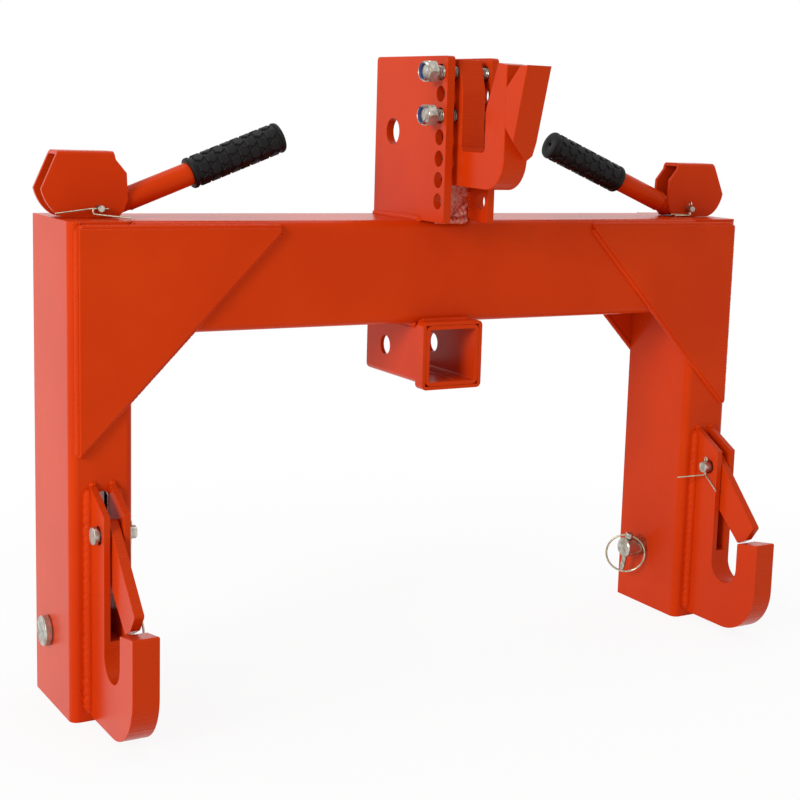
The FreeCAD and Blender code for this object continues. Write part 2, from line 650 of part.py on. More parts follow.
def top_hook_guide():
    """Guide welded on the nose: it slopes a top link pin down into the hook."""
    body = doc.addObject("PartDesign::Body", "GuideBlank")
    sketch = sketch_on(body, "YZ_Plane")
    foot = "leg_height + guide_bend - tongue_drop"
    outline(sketch, [
        (f"-{GUIDE_TOP}", "leg_height + guide_top + guide_slope"),
        (f"-{GUIDE_FOOT}", "leg_height + guide_bend"),
        (f"-{GUIDE_FOOT} + tongue_run", foot),
        ("-hook_front", foot),
        ("-hook_front", "leg_height + guide_seat_high"),
        (f"-{GUIDE_TOP} + guide_lip", "leg_height + guide_top"),
    ])
    pad(body, sketch, "hook_thickness", "Symmetric")
    trim = sketch_on(body, "XZ_Plane")
    outline(trim, [
        ("hook_thickness/2 - tongue_corner", foot),
        ("hook_thickness/2", f"{foot} + tongue_corner"),
        ("hook_thickness", f"{foot} + tongue_corner"),
        ("hook_thickness", f"{foot} - tongue_corner"),
        ("hook_thickness/2 - tongue_corner", f"{foot} - tongue_corner"),
    ])
    pocket(body, trim)
    across = Vector(1, 0, -value("bevel_fall")).normalize()
    inwards = Vector(0, 1, value("bevel_rise")).normalize()
    turned = Rotation(across, inwards, across.cross(inwards), "XZY")
    corner = Vector(value("-hook_thickness/2"), value(f"-{GUIDE_FOOT}"),
                    value("leg_height + guide_bend"))
    size = value("bevel_tool")
    tool = doc.addObject("Part::Box", "Bevel")
    tool.Length = tool.Width = tool.Height = size
    reach = turned.multVec(Vector(size / 2, size / 2, size))
    tool.Placement = Placement(corner - reach, turned)
    finish(cut(body, tool), "top_hook_guide")


def group(label, members):
    """Node that holds several separate solids of one kind."""
    compound = finish(doc.addObject("Part::Compound", label), label)
    compound.Links = members
    return compound


def along_x(thing, start, rise):
    """Lay a primitive along +X on the axis of one of the top hook's bolts."""
    turned = Rotation(Vector(0, 1, 0), 90)
    return place(thing, start, f"-{HOOK_BOLT_REACH}", f"leg_height + {rise}", turned)


def hexagon(height):
    """Six-sided prism of the bolts' size across flats."""
    prism = doc.addObject("Part::Prism", "Hexagon")
    prism.Polygon = 6
    bind(prism, "Circumradius", "bolt_flats/2/cos(30)")
    bind(prism, "Height", height)
    return prism


def cylinder(diameter, height):
    """Round bar bound to the sheet."""
    bar = doc.addObject("Part::Cylinder", "Bar")
    bind(bar, "Radius", f"({diameter})/2")
    bind(bar, "Height", height)
    return bar


def cut(base, tool):
    """First object with the second taken out."""
    result = doc.addObject("Part::Cut", "Cut")
    result.Base = base
    result.Tool = tool
    return result


def top_hook_fasteners():
    """Two bolts with their lock nuts, run up to hold the hook with side play."""
    outer = "(mast_gap/2 + mast_plate)"
    nut_start = f"(-{outer} - bolt_slack)"
    nut_end = f"({nut_start} - nut_height)"
    bolts, nuts, inserts = [], [], []
    for rise in ("hook_bolt_high", "hook_bolt_low"):
        shank = cylinder("hook_bolt", f"{outer} - {nut_end} - bolt_recess")
        bolt = doc.addObject("Part::Fuse", "Bolt")
        bolt.Base = along_x(shank, f"{nut_end} + bolt_recess", rise)
        bolt.Tool = along_x(hexagon("bolt_head"), outer, rise)
        bolts.append(bolt)
        steel = along_x(hexagon("nut_height - insert_height"), f"{nut_end} + insert_height", rise)
        thread = along_x(cylinder("hook_bolt", "nut_height"), nut_end, rise)
        nuts.append(cut(steel, thread))
        ring = along_x(cylinder("insert_diameter", "insert_height"), nut_end, rise)
        inner = along_x(cylinder("hook_bolt", "nut_height"), nut_end, rise)
        inserts.append(cut(ring, inner))
    group("top_hook_bolts", bolts)
    group("top_hook_nuts", nuts)
    group("nut_inserts", inserts)


# Lower hooks and latches

def lower_hook(side, sign):
    """Thick plate hook, open upwards, forked above its pocket for the latch."""
    body = new_body(f"{side}_lower_hook")
    sketch = sketch_on(body, "YZ_Plane")
    outline(sketch, [
        ("0", "lower_clearance"),
        ("-lower_reach", "lower_clearance", "lower_heel"),
        ("-lower_reach", "nose_front_rise", "nose_front_corner"),
        ("-(pocket_reach + pocket_radius)", "nose_back_rise", "nose_back_corner"),
        ("-(pocket_reach + pocket_radius)", "pocket_rise"),
        ("-(pocket_reach - pocket_radius)", "pocket_rise"),
        ("-(pocket_reach - pocket_radius)", "fork_rise"),
        ("0", "fork_back_rise"),
    ])
    pad(body, sketch, "lower_thickness", "Symmetric")
    saddle = sketch_on(body, "YZ_Plane")
    circle(saddle, "-pocket_reach", "pocket_rise", "2*pocket_radius")
    pocket(body, saddle)
    slot = sketch_on(body, "XZ_Plane")
    sweep = "sqrt(pow(latch_toe_reach; 2) + pow(latch_toe_drop; 2))"
    rectangle(slot, "-latch_slot/2", f"pivot_rise - {sweep} - latch_sweep", "latch_slot/2",
              "fork_back_rise + latch_slot")
    pocket(body, slot, "pocket_reach", True)
    bore = sketch_on(body, "YZ_Plane")
    circle(bore, "-pivot_reach", "pivot_rise", "pivot_pin + pivot_fit")
    pocket(body, bore)
    for reverse, face in ((False, "lower_thickness/2"), (True, "-lower_thickness/2")):
        mouth = sketch_on(body, "YZ_Plane", face)
        circle(mouth, "-pivot_reach", "pivot_rise", "pivot_counterbore")
        pocket(body, mouth, "pivot_counterbore_depth", reverse)
    place(body, f"{sign}*{LEG_CENTRE}")


def latch(side, sign):
    """Latch plate that closes the pocket and tips back into the fork."""
    body = new_body(f"{side}_latch")
    sketch = sketch_on(body, "YZ_Plane")
    end = "(tail_arm/cos(tail_droop) + latch_head)"

    def tail(along, rise):
        """Point along the sloping tail, on its line or beside it."""
        back = f"({along})*cos(tail_droop) + ({rise})*sin(tail_droop)"
        return back, f"-({along})*sin(tail_droop) + ({rise})*cos(tail_droop)"

    outline(sketch, [
        ("-latch_tip_reach", "-latch_tip_drop", "latch_corner"),
        ("-latch_toe_reach", "-latch_toe_drop", "latch_toe_corner"),
        ("-latch_back_reach", "-latch_back_drop", "latch_corner"),
        ("-latch_waist_reach", "-latch_waist_drop", "latch_hollow"),
        (*tail("1.5*latch_head", "-latch_head"), "latch_hollow"),
        (*tail(end, "-latch_head"), "latch_head - round_flat"),
        (*tail(end, "latch_head"), "latch_head - round_flat"),
        (*tail("-0.6*latch_head", "latch_head"), "latch_shoulder"),
    ])
    circle(sketch, "0", "0", "pivot_pin + pivot_fit")
    pad(body, sketch, "latch_thickness", "Symmetric")
    slot = sketch_on(body, "YZ_Plane")
    long_hole(slot, tail("tail_arm", "0"), tail("tail_arm + tail_slot_travel", "0"), "tail_slot")
    pocket(body, slot)
    place(body, f"{sign}*{LEG_CENTRE}", "-pivot_reach", "pivot_rise")


# Pins, rods and levers

def facing(sign):
    """Turn a piece modelled for the right side so that its +X looks outwards."""
    return Rotation(Vector(0, 0, 1), 0 if sign > 0 else 180)


def step(reach, *heading):
    """Step of a length in the sheet along a heading."""
    return Vector(*heading).normalize() * value(reach)


def cotter(across, up, first, second):
    """Split pin along -Z: its eye above, and two legs that go on by their own steps."""
    wire = value("cotter_wire")
    half = value("cotter_spread")
    eye = (value("cotter_eye") - wire) / 2
    pin = Part.makeTorus(eye, wire / 2, Vector(0, 0, up + wire / 4 + eye),
                         Vector(1, 0, 0))
    for offset, steps in ((-half, first), (half, second)):
        shift = across * offset
        run = [Vector(0, 0, up + wire / 4) + shift, Vector(0, 0, -up - 2 * wire) + shift]
        for further in steps:
            run.append(run[-1] + further)
        pin = pin.fuse(bent_wire(run, value("cotter_bend"), wire))
    return pin.removeSplitter()


def latch_pin(side, sign):
    """Headed pin on which a latch turns, and the split pin that keeps it."""
    half = "lower_thickness/2"
    body = new_body(f"{side}_latch_pin")
    turn(body, [
        (f"-({half} + pivot_pin_end)", "0"),
        (f"{half} + pivot_head_gap + pivot_head_height", "0"),
        (f"{half} + pivot_head_gap + pivot_head_height", "pivot_head/2", "head_edge"),
        (f"{half} + pivot_head_gap", "pivot_head/2"),
        (f"{half} + pivot_head_gap", "pivot_pin/2"),
        (f"-({half} + pivot_pin_end)", "pivot_pin/2", "pin_edge"),
    ])
    hole = sketch_on(body, "XY_Plane")
    circle(hole, f"-({half} + pivot_pin_end/2)", "0", "cotter_hole")
    pocket(body, hole)
    place(body, f"{sign}*{LEG_CENTRE}", "-pivot_reach", "pivot_rise", facing(sign))
    if sign > 0:
        ahead = step("cotter_leg", 0, -0.8, -0.6)
        aside = step("latch_cotter_leg", -0.75, 0.6, -0.15)
    else:
        ahead = step("cotter_leg", 0, 0.2, -1)
        aside = step("cotter_leg", 0, 0.7, -0.75)
    shape = cotter(Vector(0, 1, 0), value("pivot_pin/2"), [ahead], [aside])
    clip = solid_feature(f"{side}_latch_split_pin", shape)
    place(clip, f"{sign}*({LEG_CENTRE} - {half} - pivot_pin_end/2)", "-pivot_reach", "pivot_rise")


def link_pin(side, sign):
    """Lower link pin with its linch pin and snap ring, turned as they hang."""
    spin = Rotation(Vector(1, 0, 0), sign * value("linch_tilt"))
    turned = spin.multiply(facing(sign))
    inner = "(leg_width/2 + link_end)"
    body = new_body(f"{side}_link_pin")
    turn(body, [
        (f"-{inner}", "0"),
        ("leg_width/2 + link_head_gap + link_head_height", "0"),
        ("leg_width/2 + link_head_gap + link_head_height", "link_head/2", "head_edge"),
        ("leg_width/2 + link_head_gap", "link_head/2"),
        ("leg_width/2 + link_head_gap", PIN_HALF),
        (f"-{inner} + link_chamfer", PIN_HALF),
        (f"-{inner}", f"{PIN_HALF} - link_chamfer"),
    ])
    hole = sketch_on(body, "XY_Plane")
    circle(hole, f"-{inner} + linch_setback", "0", "linch_wire + linch_fit")
    pocket(body, hole)
    place(body, f"{sign}*{LEG_CENTRE}", "link_setback", "link_rise", turned)

    across = f"{sign}*({LEG_CENTRE} - {inner} + linch_setback)"
    turn_name = "ring_turn_angle" if sign > 0 else "ring_turn_left_angle"
    lie = turned.multiply(Rotation(Vector(0, 0, 1), value(turn_name)))
    upright = Rotation(Vector(0, 1, 0), -90)
    linch = new_body(f"{side}_linch_pin")
    seat = f"{PIN_HALF} + linch_head_gap"
    turn(linch, [
        ("-linch_drop", "0"),
        (f"{seat} + linch_head_height", "0"),
        (f"{seat} + linch_head_height", "linch_head/2", "head_edge"),
        (seat, "linch_head/2", "head_edge"),
        (seat, "linch_wire/2"),
        ("-linch_drop + linch_tip", "linch_wire/2"),
        ("-linch_drop", "linch_wire/2 - linch_tip/2"),
    ])
    eye = sketch_on(linch, "XZ_Plane")
    circle(eye, f"{seat} + linch_head_height/2", "0", "ring_hole")
    pocket(linch, eye)
    place(linch, across, "link_setback", "link_rise", lie.multiply(upright))

    lean = math.radians(value("ring_lean_angle"))
    radius = value("(ring_diameter - ring_wire)/2")
    hang = Vector(-math.sin(lean), 0, -math.cos(lean)) * radius
    centre = Vector(0, 0, value(f"{seat} + linch_head_height/2")) + hang
    facing_out = Vector(math.cos(lean), 0, -math.sin(lean))
    hoop = Part.makeTorus(radius, value("ring_wire/2"), centre, facing_out)
    ring = solid_feature(f"{side}_linch_ring", hoop)
    place(ring, across, "link_setback", "link_rise", lie)


def pull_rod(side, sign):
    """Rod from the latch's tail up to the cam lever, with an eye at its top."""
    low = value(f"{LEG_CENTRE} - rod_low_inset")
    high = value(ROD_ACROSS)
    front = value("tail_arm - pivot_reach")
    foot = value("pivot_rise - tail_arm*sin(tail_droop)/cos(tail_droop)")
    end = value(f"{LEG_CENTRE} + latch_thickness/2 + rod_foot_end")
    top = value(LEVER_RISE)
    rear = value("rod_setback")
    shank = bent_wire([
        Vector(sign * low, front, foot + value("rod_wire") * 2),
        Vector(sign * low, front, foot),
        Vector(sign * end, front, foot),
    ], value("rod_low_bend"), value("rod_wire"))
    upper = bent_wire([
        Vector(sign * low, front, foot + value("rod_wire") * 2),
        Vector(sign * low, front, value("rod_joggle_low")),
        Vector(sign * high, rear, value("rod_joggle_high")),
        Vector(sign * high, rear, top - value("eye_radius") / 2),
    ], value("rod_joggle_bend"), value("rod_wire"))
    thick = value("eye_thickness")
    start = Vector(sign * high, rear - thick / 2, top)
    eye = Part.makeCylinder(value("eye_radius"), thick, start, Vector(0, 1, 0))
    bore = Part.makeCylinder(value("(lever_pin + lever_fit)/2"), 3 * thick,
                             start - Vector(0, thick, 0), Vector(0, 1, 0))
    clip = sign * (end - value("rod_foot_clip"))
    clip_hole = Part.makeCylinder(value("cotter_hole/2"), value("2*rod_wire"),
                                  Vector(clip, front, foot - value("rod_wire")))
    shape = upper.fuse([shank, eye]).cut([bore, clip_hole]).removeSplitter()
    solid_feature(f"{side}_pull_rod", shape)
    ahead = step("rod_wire/2", 0, -1, -0.5)
    behind = step("rod_wire/2", 0, 1, -0.5)
    shape = cotter(Vector(0, 1, 0), value("rod_wire/2"), [ahead], [behind])
    place(solid_feature(f"{side}_rod_foot_split_pin", shape), str(clip), str(front), str(foot))


def cam_edge():
    """Curve of the cam: it lifts the lever's pin in proportion to the lever's turn."""
    rest = value("lever_rise - cam_gap")
    lift = value("cam_lift")
    steps = 10
    points = []
    for step in range(steps + 1):
        turned = math.radians(value("cam_angle")) * step / steps
        reach = rest + lift * turned
        across = reach * math.sin(turned) + lift * math.cos(turned)
        points.append(Vector(across, 0, lift * math.sin(turned) - reach * math.cos(turned)))
    curve = Part.BSplineCurve()
    curve.interpolate(points)
    return curve


def cam_housing(side, sign):
    """Folded housing of a cam lever: a top, two cheeks and open ends."""
    curve = cam_edge()
    first = curve.value(curve.FirstParameter)
    last = curve.value(curve.LastParameter)
    crown = value("housing_top")
    plate = value("housing_plate")
    width = value("housing_width")
    back_edge = [
        ("-housing_crown_in", "housing_top"),
        ("-housing_shoulder_in", "housing_shoulder"),
        ("-housing_inner + housing_edge_lean", "housing_edge_high"),
        ("-housing_inner", "housing_edge_low"),
        ("-housing_chin_in", "-housing_chin"),
    ]
    corners = [last, Vector(value("housing_crown_out"), 0, crown)]
    corners += [Vector(value(across), 0, value(up)) for across, up in back_edge]
    corners += [Vector(-value("housing_toe"), 0, first.z), first]
    edges = [curve.toShape()]
    edges += [Part.LineSegment(a, b).toShape() for a, b in zip(corners, corners[1:])]
    side_face = Part.Face(Part.Wire(edges))
    side_face.translate(Vector(0, -width / 2, 0))
    block = side_face.extrude(Vector(0, width, 0))
    fold = Part.makeBox(6 * crown, width, 2 * crown, Vector(-3 * crown, -width / 2, -crown))
    folds = [edge for edge in fold.Edges
             if abs(edge.CenterOfMass.z - crown) < 1e-6 and abs(edge.CenterOfMass.x) < 1e-6]
    shell = fold.makeFillet(value("housing_fold"), folds)
    inside = Part.makeBox(6 * crown, width - 2 * plate, 2 * crown,
                          Vector(-3 * crown, plate - width / 2, -crown - plate))
    pin = Part.makeCylinder(value("(lever_pin + lever_fit)/2"), 2 * width,
                            Vector(0, -width, 0), Vector(0, 1, 0))
    shape = block.common(shell).cut([inside, pin]).removeSplitter()
    housing = solid_feature(f"{side}_cam_housing", shape)
    place(housing, f"{sign}*{ROD_ACROSS}", "rod_setback", LEVER_RISE, facing(sign))


def handle(side, sign):
    """Handle tube with a swaged neck, and the rubber grip on its end."""
    along = Rotation(Vector(0, 1, 0), 180 + value("tube_angle"))
    turned = facing(sign).multiply(along)
    where = (f"{sign}*({ROD_ACROSS} - tube_out)", "rod_setback", f"{LEVER_RISE} + tube_up", turned)
    tube_end = "grip_start + grip_length - grip_end_wall"
    tube = new_body(f"{side}_handle_tube")
    turn(tube, [
        ("-neck_start", f"{TUBE_NECK} - tube_wall"),
        ("-neck_end", f"{TUBE_NECK} - tube_wall"),
        ("-neck_end + swage_length", "tube_diameter/2 - tube_wall"),
        (tube_end, "tube_diameter/2 - tube_wall"),
        (tube_end, "tube_diameter/2"),
        ("-neck_end + swage_length", "tube_diameter/2"),
        ("-neck_end", TUBE_NECK),
        ("-neck_start", TUBE_NECK),
    ])
    place(tube, *where)
    grip = new_body(f"{side}_grip")
    turn(grip, [
        ("grip_start", "tube_diameter/2"),
        (tube_end, "tube_diameter/2"),
        (tube_end, "grip_vent/2"),
        ("grip_start + grip_length", "grip_vent/2"),
        ("grip_start + grip_length", "grip_diameter/2", "grip_edge"),
        ("grip_start", "grip_diameter/2", "grip_lip"),
    ])
    place(grip, *where)


def lever_pin(side, sign):
    """Clevis pin through a cam lever and its rod, and the split pin in its end."""
    body = new_body(f"{side}_lever_pin")
    half = "housing_width/2"
    turn(body, [
        (f"-({half} + lever_pin_end)", "0"),
        (f"{half} + lever_head_gap + lever_head_height", "0"),
        (f"{half} + lever_head_gap + lever_head_height", "lever_head/2", "head_edge"),
        (f"{half} + lever_head_gap", "lever_head/2"),
        (f"{half} + lever_head_gap", "lever_pin/2"),
        (f"-({half} + lever_pin_end)", "lever_pin/2", "pin_edge"),
    ])
    hole = sketch_on(body, "XY_Plane")
    circle(hole, f"-({half} + lever_pin_end/2)", "0", "cotter_hole")
    pocket(body, hole)
    back = Rotation(Vector(0, 0, 1), 90)
    radius = value("lever_pin/2")
    if sign < 0:
        laid = Rotation(Vector(0, 1, 0), 90)
        down = step("splayed_drop", 1, 0, 0)
        under = step("splayed_leg", 0.07, -0.55, 0.83)
        ahead = step("splayed_leg", 0.13, 0, -1)
        shape = cotter(Vector(0, 1, 0), radius, [down, under], [ahead])
    else:
        laid = Rotation()
        front = step("cotter_leg", -1, -0.15, -0.02)
        rear = step("cotter_leg", -1, 0.1, 0.02)
        shape = cotter(Vector(0, 1, 0), radius, [front], [rear])
    place(body, f"{sign}*{ROD_ACROSS}", "rod_setback", LEVER_RISE, laid.multiply(back))
    clip = solid_feature(f"{side}_lever_split_pin", shape)
    reach = f"rod_setback - ({half} + lever_pin_end/2)"
    place(clip, f"{sign}*{ROD_ACROSS}", reach, LEVER_RISE, laid)


def check_model():
    """Stop if any object failed or any node is missing, empty or invalid."""
    for thing in doc.Objects:
        if "Invalid" in thing.State or "Error" in thing.State:
            raise RuntimeError(f"{thing.Label} failed: {thing.State}")
    for node in nodes:
        if node.Shape.isNull() or not node.Shape.isValid() or not node.Shape.Solids:
            raise RuntimeError(f"{node.Label} has no valid solid")


def build():
    """Make every sub-part, check the model and write one STEP file for each."""
    fill_sheet()
    crossbeam()
    receiver()
    mast_web()
    top_hook()
    top_hook_guide()
    top_hook_fasteners()
    for side, sign in SIDES:
        leg(side, sign)
        leg_top_plate(side, sign)
        gusset(side, sign, "front")
        gusset(side, sign, "rear")
        mast_plate(side, sign)
        lower_hook(side, sign)
        latch(side, sign)
        latch_pin(side, sign)
        link_pin(side, sign)
        pull_rod(side, sign)
        cam_housing(side, sign)
        handle(side, sign)
        lever_pin(side, sign)
    doc.recompute()
    check_model()
    os.makedirs("parts", exist_ok=True)
    for node in nodes:
        node.Shape.exportStep(f"parts/{node.Label}.step")


build()
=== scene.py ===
"""Looks of a three point quick hitch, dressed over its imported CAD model.

Lengths are millimetres in the classes and metres in the meshes: MM turns one into the other.
+X runs along the crossbeam to the right leg, +Y back to the tractor, and +Z up.
"""

import json
import logging
import math
import random
from dataclasses import dataclass, field
from enum import Enum
from typing import Iterable, Optional, Sequence

import bmesh
import bpy
from mathutils import Matrix, Vector

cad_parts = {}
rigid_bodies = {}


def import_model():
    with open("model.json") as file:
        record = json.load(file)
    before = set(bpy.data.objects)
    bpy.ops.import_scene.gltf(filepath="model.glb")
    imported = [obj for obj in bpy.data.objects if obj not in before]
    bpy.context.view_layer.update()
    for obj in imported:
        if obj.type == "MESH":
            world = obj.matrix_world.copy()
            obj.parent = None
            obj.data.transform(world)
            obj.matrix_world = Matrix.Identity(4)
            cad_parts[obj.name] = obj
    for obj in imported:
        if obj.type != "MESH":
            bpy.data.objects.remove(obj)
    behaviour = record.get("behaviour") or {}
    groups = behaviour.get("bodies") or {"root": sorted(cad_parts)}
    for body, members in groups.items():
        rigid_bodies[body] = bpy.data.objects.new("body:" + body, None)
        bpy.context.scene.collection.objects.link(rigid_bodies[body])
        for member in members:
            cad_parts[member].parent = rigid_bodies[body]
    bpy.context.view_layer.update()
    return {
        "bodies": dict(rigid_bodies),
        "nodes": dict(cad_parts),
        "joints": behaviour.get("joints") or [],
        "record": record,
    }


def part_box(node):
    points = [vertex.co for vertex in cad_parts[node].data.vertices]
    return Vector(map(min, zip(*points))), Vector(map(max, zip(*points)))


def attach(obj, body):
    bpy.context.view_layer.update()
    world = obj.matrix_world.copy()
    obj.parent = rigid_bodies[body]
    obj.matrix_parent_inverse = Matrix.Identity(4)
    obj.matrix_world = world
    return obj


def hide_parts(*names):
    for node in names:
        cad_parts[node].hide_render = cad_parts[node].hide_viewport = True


MM = 0.001
SAME_POINT = 2e-6  # metres between two corners of a CAD mesh that are one
FLAT_ANGLE = 0.4  # degrees between two faces that are one
ROUNDED_ANGLE = 30.0  # degrees from which paint rounds an edge
Point = tuple[float, float, float]
LOG = logging.getLogger("quick_hitch")


class Side(Enum):
    """Which leg a piece belongs to, with the sign of its X."""

    LEFT = -1
    RIGHT = 1

    @property
    def word(self) -> str:
        """Name of the side as the CAD nodes spell it."""
        return self.name.lower()


class Slot(Enum):
    """Material slots of the record."""

    PAINT = "orange_paint"
    ZINC = "zinc_plate"
    STEEL = "bare_steel"
    RUBBER = "black_rubber"
    NYLON = "blue_nylon"


# Finishes

def srgb(code: str) -> tuple[float, float, float, float]:
    """Turn an sRGB hex colour into Blender's linear one.

    Args:
        code: Colour as "#rrggbb".

    Returns:
        Linear red, green and blue, and an alpha of 1.
    """
    parts = [int(code[i:i + 2], 16) / 255 for i in (1, 3, 5)]
    linear = [c / 12.92 if c <= 0.04045 else ((c + 0.055) / 1.055) ** 2.4 for c in parts]
    return (*linear, 1.0)


def add(tree: bpy.types.NodeTree, kind: str, settings: Optional[dict] = None,
        links: Optional[dict] = None) -> bpy.types.Node:
    """Add a node with its settings, socket values and incoming links.

    Args:
        tree: Node tree that gets the node.
        kind: Blender's identifier of the node.
        settings: Properties of the node by name, and socket values by name or number.
        links: Output sockets by the name or number of the input that they feed.

    Returns:
        The new node.
    """
    node = tree.nodes.new(kind)
    for key, setting in (settings or {}).items():
        if isinstance(key, str) and hasattr(node, key):
            setattr(node, key, setting)
        else:
            node.inputs[key].default_value = setting
    for key, socket in (links or {}).items():
        tree.links.new(socket, node.inputs[key])
    return node


def blank(name: str) -> tuple[bpy.types.Material, bpy.types.NodeTree]:
    """Make a material with an empty node tree.

    Args:
        name: Name of the finish.

    Returns:
        The material and its tree.
    """
    material = bpy.data.materials.new(name)
    material.use_nodes = True
    material.node_tree.nodes.clear()
    return material, material.node_tree


@dataclass(frozen=True)
class PowderCoat:
    """Gloss polyester powder coat on mild steel.

    The film is sprayed dry and baked, so it is even in colour, rounds small edges and keeps a
    faint orange peel. Plasma-cut edges show their cutting lines through it.
    """

    name: str = "gloss orange powder coat"
    colour: str = "#d43c0a"
    thin: str = "#cb3607"
    # Colour of cut edges: painted shade on faces turned away from the lamp on the left.
    cut_edge: str = "#c8380b"
    shine: str = "#ffb89a"
    roughness: float = 0.26
    ior: float = 1.24
    drift_per_metre: float = 8.0
    peel_per_metre: float = 400.0
    wave_per_metre: float = 60.0
    grain_per_metre: float = 420.0
    patch_per_metre: float = 34.0
    cuts_per_metre: float = 650.0
    cut_length_per_metre: float = 6.0
    cut_lines: float = 0.0
    dust: float = 0.0
    dust_colour: str = "#d9aaa0"

    def build(self) -> bpy.types.Material:
        """Make the material."""
        material, tree = blank(self.name)
        place = add(tree, "ShaderNodeTexCoord").outputs
        # Film thickness drifts over about 120 mm, and shows as a slightly deeper red.
        drift = add(tree, "ShaderNodeTexNoise", {"Scale": self.drift_per_metre,
                                                 "Detail": 3.0},
                    {"Vector": place["Object"]})
        film = add(tree, "ShaderNodeMapRange", {"From Min": 0.35, "From Max": 0.65},
                   {"Value": drift.outputs[0]})
        coat = add(tree, "ShaderNodeMix", {"data_type": "RGBA", 6: srgb(self.colour),
                                           7: srgb(self.thin)}, {0: film.outputs[0]})
        colour = coat.outputs[2]
        if self.dust:
            # Grinding and spray dust: fine grains of 1 to 3 mm in patches of about 30 mm.
            grain = add(tree, "ShaderNodeTexNoise", {"Scale": self.grain_per_metre,
                                                     "Detail": 2.0},
                        {"Vector": place["Object"]})
            patch = add(tree, "ShaderNodeTexNoise", {"Scale": self.patch_per_metre,
                                                     "Detail": 4.0},
                        {"Vector": place["Object"]})
            both = add(tree, "ShaderNodeMath", {"operation": "ADD"},
                       {0: grain.outputs[0], 1: patch.outputs[0]})
            amount = add(tree, "ShaderNodeMapRange", {"From Min": 0.85, "From Max": 1.25,
                                                      "To Max": self.dust},
                         {"Value": both.outputs[0]})
            dusty = add(tree, "ShaderNodeMix", {"data_type": "RGBA", 7: srgb(self.dust_colour)},
                        {0: amount.outputs[0], 6: colour})
            colour = dusty.outputs[2]
        edge = None
        if self.cut_lines:
            # Faces turned away from X, the plates' cut edges, get the cutting lines and a painted
            # shade.
            facing = add(tree, "ShaderNodeSeparateXYZ", {}, {0: place["Normal"]})
            flat = add(tree, "ShaderNodeMath", {"operation": "ABSOLUTE"}, {0: facing.outputs[0]})
            edge = add(tree, "ShaderNodeMapRange", {"From Min": 0.5, "From Max": 0.2},
                       {"Value": flat.outputs[0]})
            # Painted shade: these faces turn away from the lamp on the left, so they are drawn a
            # deeper colour.
            shaded_edge = add(tree, "ShaderNodeMix", {"data_type": "RGBA", 7: srgb(self.cut_edge)},
                       {0: edge.outputs[0], 6: colour})
            colour = shaded_edge.outputs[2]
        # Orange peel: real peel is about 1 mm across, drawn at 2.5 mm so that it shows.
        peel = add(tree, "ShaderNodeTexNoise", {"Scale": self.peel_per_metre,
                                                "Detail": 1.0},
                   {"Vector": place["Object"]})
        wave = add(tree, "ShaderNodeTexNoise", {"Scale": self.wave_per_metre,
                                                "Detail": 1.0},
                   {"Vector": place["Object"]})
        height = add(tree, "ShaderNodeMath", {"operation": "MULTIPLY_ADD", 1: 0.15},
                     {0: peel.outputs[0], 2: wave.outputs[0]})
        bump = add(tree, "ShaderNodeBump", {"Strength": 0.12, "Distance": 0.0006},
                   {"Height": height.outputs[0]})
        normal = bump.outputs[0]
        if self.cut_lines:
            # Cutting lines lie across the plate's thickness, about 1.5 mm apart.
            across = (self.cut_length_per_metre, self.cuts_per_metre, self.cuts_per_metre)
            stretch = add(tree, "ShaderNodeMapping", {"Scale": across},
                          {"Vector": place["Object"]})
            lines = add(tree, "ShaderNodeTexNoise", {"Scale": 1.0, "Detail": 1.0},
                        {"Vector": stretch.outputs[0]})
            depth = add(tree, "ShaderNodeMath", {"operation": "MULTIPLY", 1: self.cut_lines},
                        {0: edge.outputs[0]})
            cut = add(tree, "ShaderNodeBump", {"Distance": 0.0008},
                      {"Strength": depth.outputs[0], "Height": lines.outputs[0],
                       "Normal": normal})
            normal = cut.outputs[0]
        surface = add(tree, "ShaderNodeBsdfPrincipled",
                      {"Roughness": self.roughness, "IOR": self.ior,
                       "Specular Tint": srgb(self.shine)},
                      {"Base Color": colour, "Normal": normal})
        add(tree, "ShaderNodeOutputMaterial", {}, {0: surface.outputs[0]})
        return material


@dataclass(frozen=True)
class PlatedSteel:
    """Zinc plated steel, tumbled bright and passivated, with handling marks."""

    name: str = "clear zinc plated steel"
    colour: str = "#c9c5bb"
    dull: str = "#9d978b"
    roughness: float = 0.32
    blotch_per_metre: float = 170.0
    thread: float = 0.0

    def build(self) -> bpy.types.Material:
        """Make the material."""
        material, tree = blank(self.name)
        place = add(tree, "ShaderNodeTexCoord").outputs
        # Plating dulls in soft blotches of 4 to 8 mm.
        blotch = add(tree, "ShaderNodeTexNoise", {"Scale": self.blotch_per_metre,
                                                  "Detail": 4.0},
                     {"Vector": place["Object"]})
        amount = add(tree, "ShaderNodeMapRange", {"From Min": 0.38, "From Max": 0.62},
                     {"Value": blotch.outputs[0]})
        colour = add(tree, "ShaderNodeMix", {"data_type": "RGBA", 6: srgb(self.colour),
                                             7: srgb(self.dull)}, {0: amount.outputs[0]})
        shine = add(tree, "ShaderNodeMapRange", {"To Min": self.roughness - 0.06,
                                                 "To Max": self.roughness + 0.1},
                    {"Value": amount.outputs[0]})
        bump = add(tree, "ShaderNodeBump", {"Strength": 0.2, "Distance": 0.0002},
                   {"Height": blotch.outputs[0]})
        normal = bump.outputs[0]
        if self.thread:
            # Coarse M12 thread: 1.75 mm pitch along the bolt.
            turns = add(tree, "ShaderNodeTexWave", {"wave_type": "BANDS", "bands_direction": "X",
                                                    "Scale": 2 * math.pi / (20 * self.thread),
                                                    "Distortion": 0.0},
                        {"Vector": place["Object"]})
            ridge = add(tree, "ShaderNodeBump", {"Strength": 0.9, "Distance": 0.0008},
                        {"Height": turns.outputs[0], "Normal": normal})
            normal = ridge.outputs[0]
        surface = add(tree, "ShaderNodeBsdfPrincipled", {"Metallic": 1.0},
                      {"Base Color": colour.outputs[2], "Roughness": shine.outputs[0],
                       "Normal": normal})
        add(tree, "ShaderNodeOutputMaterial", {}, {0: surface.outputs[0]})
        return material


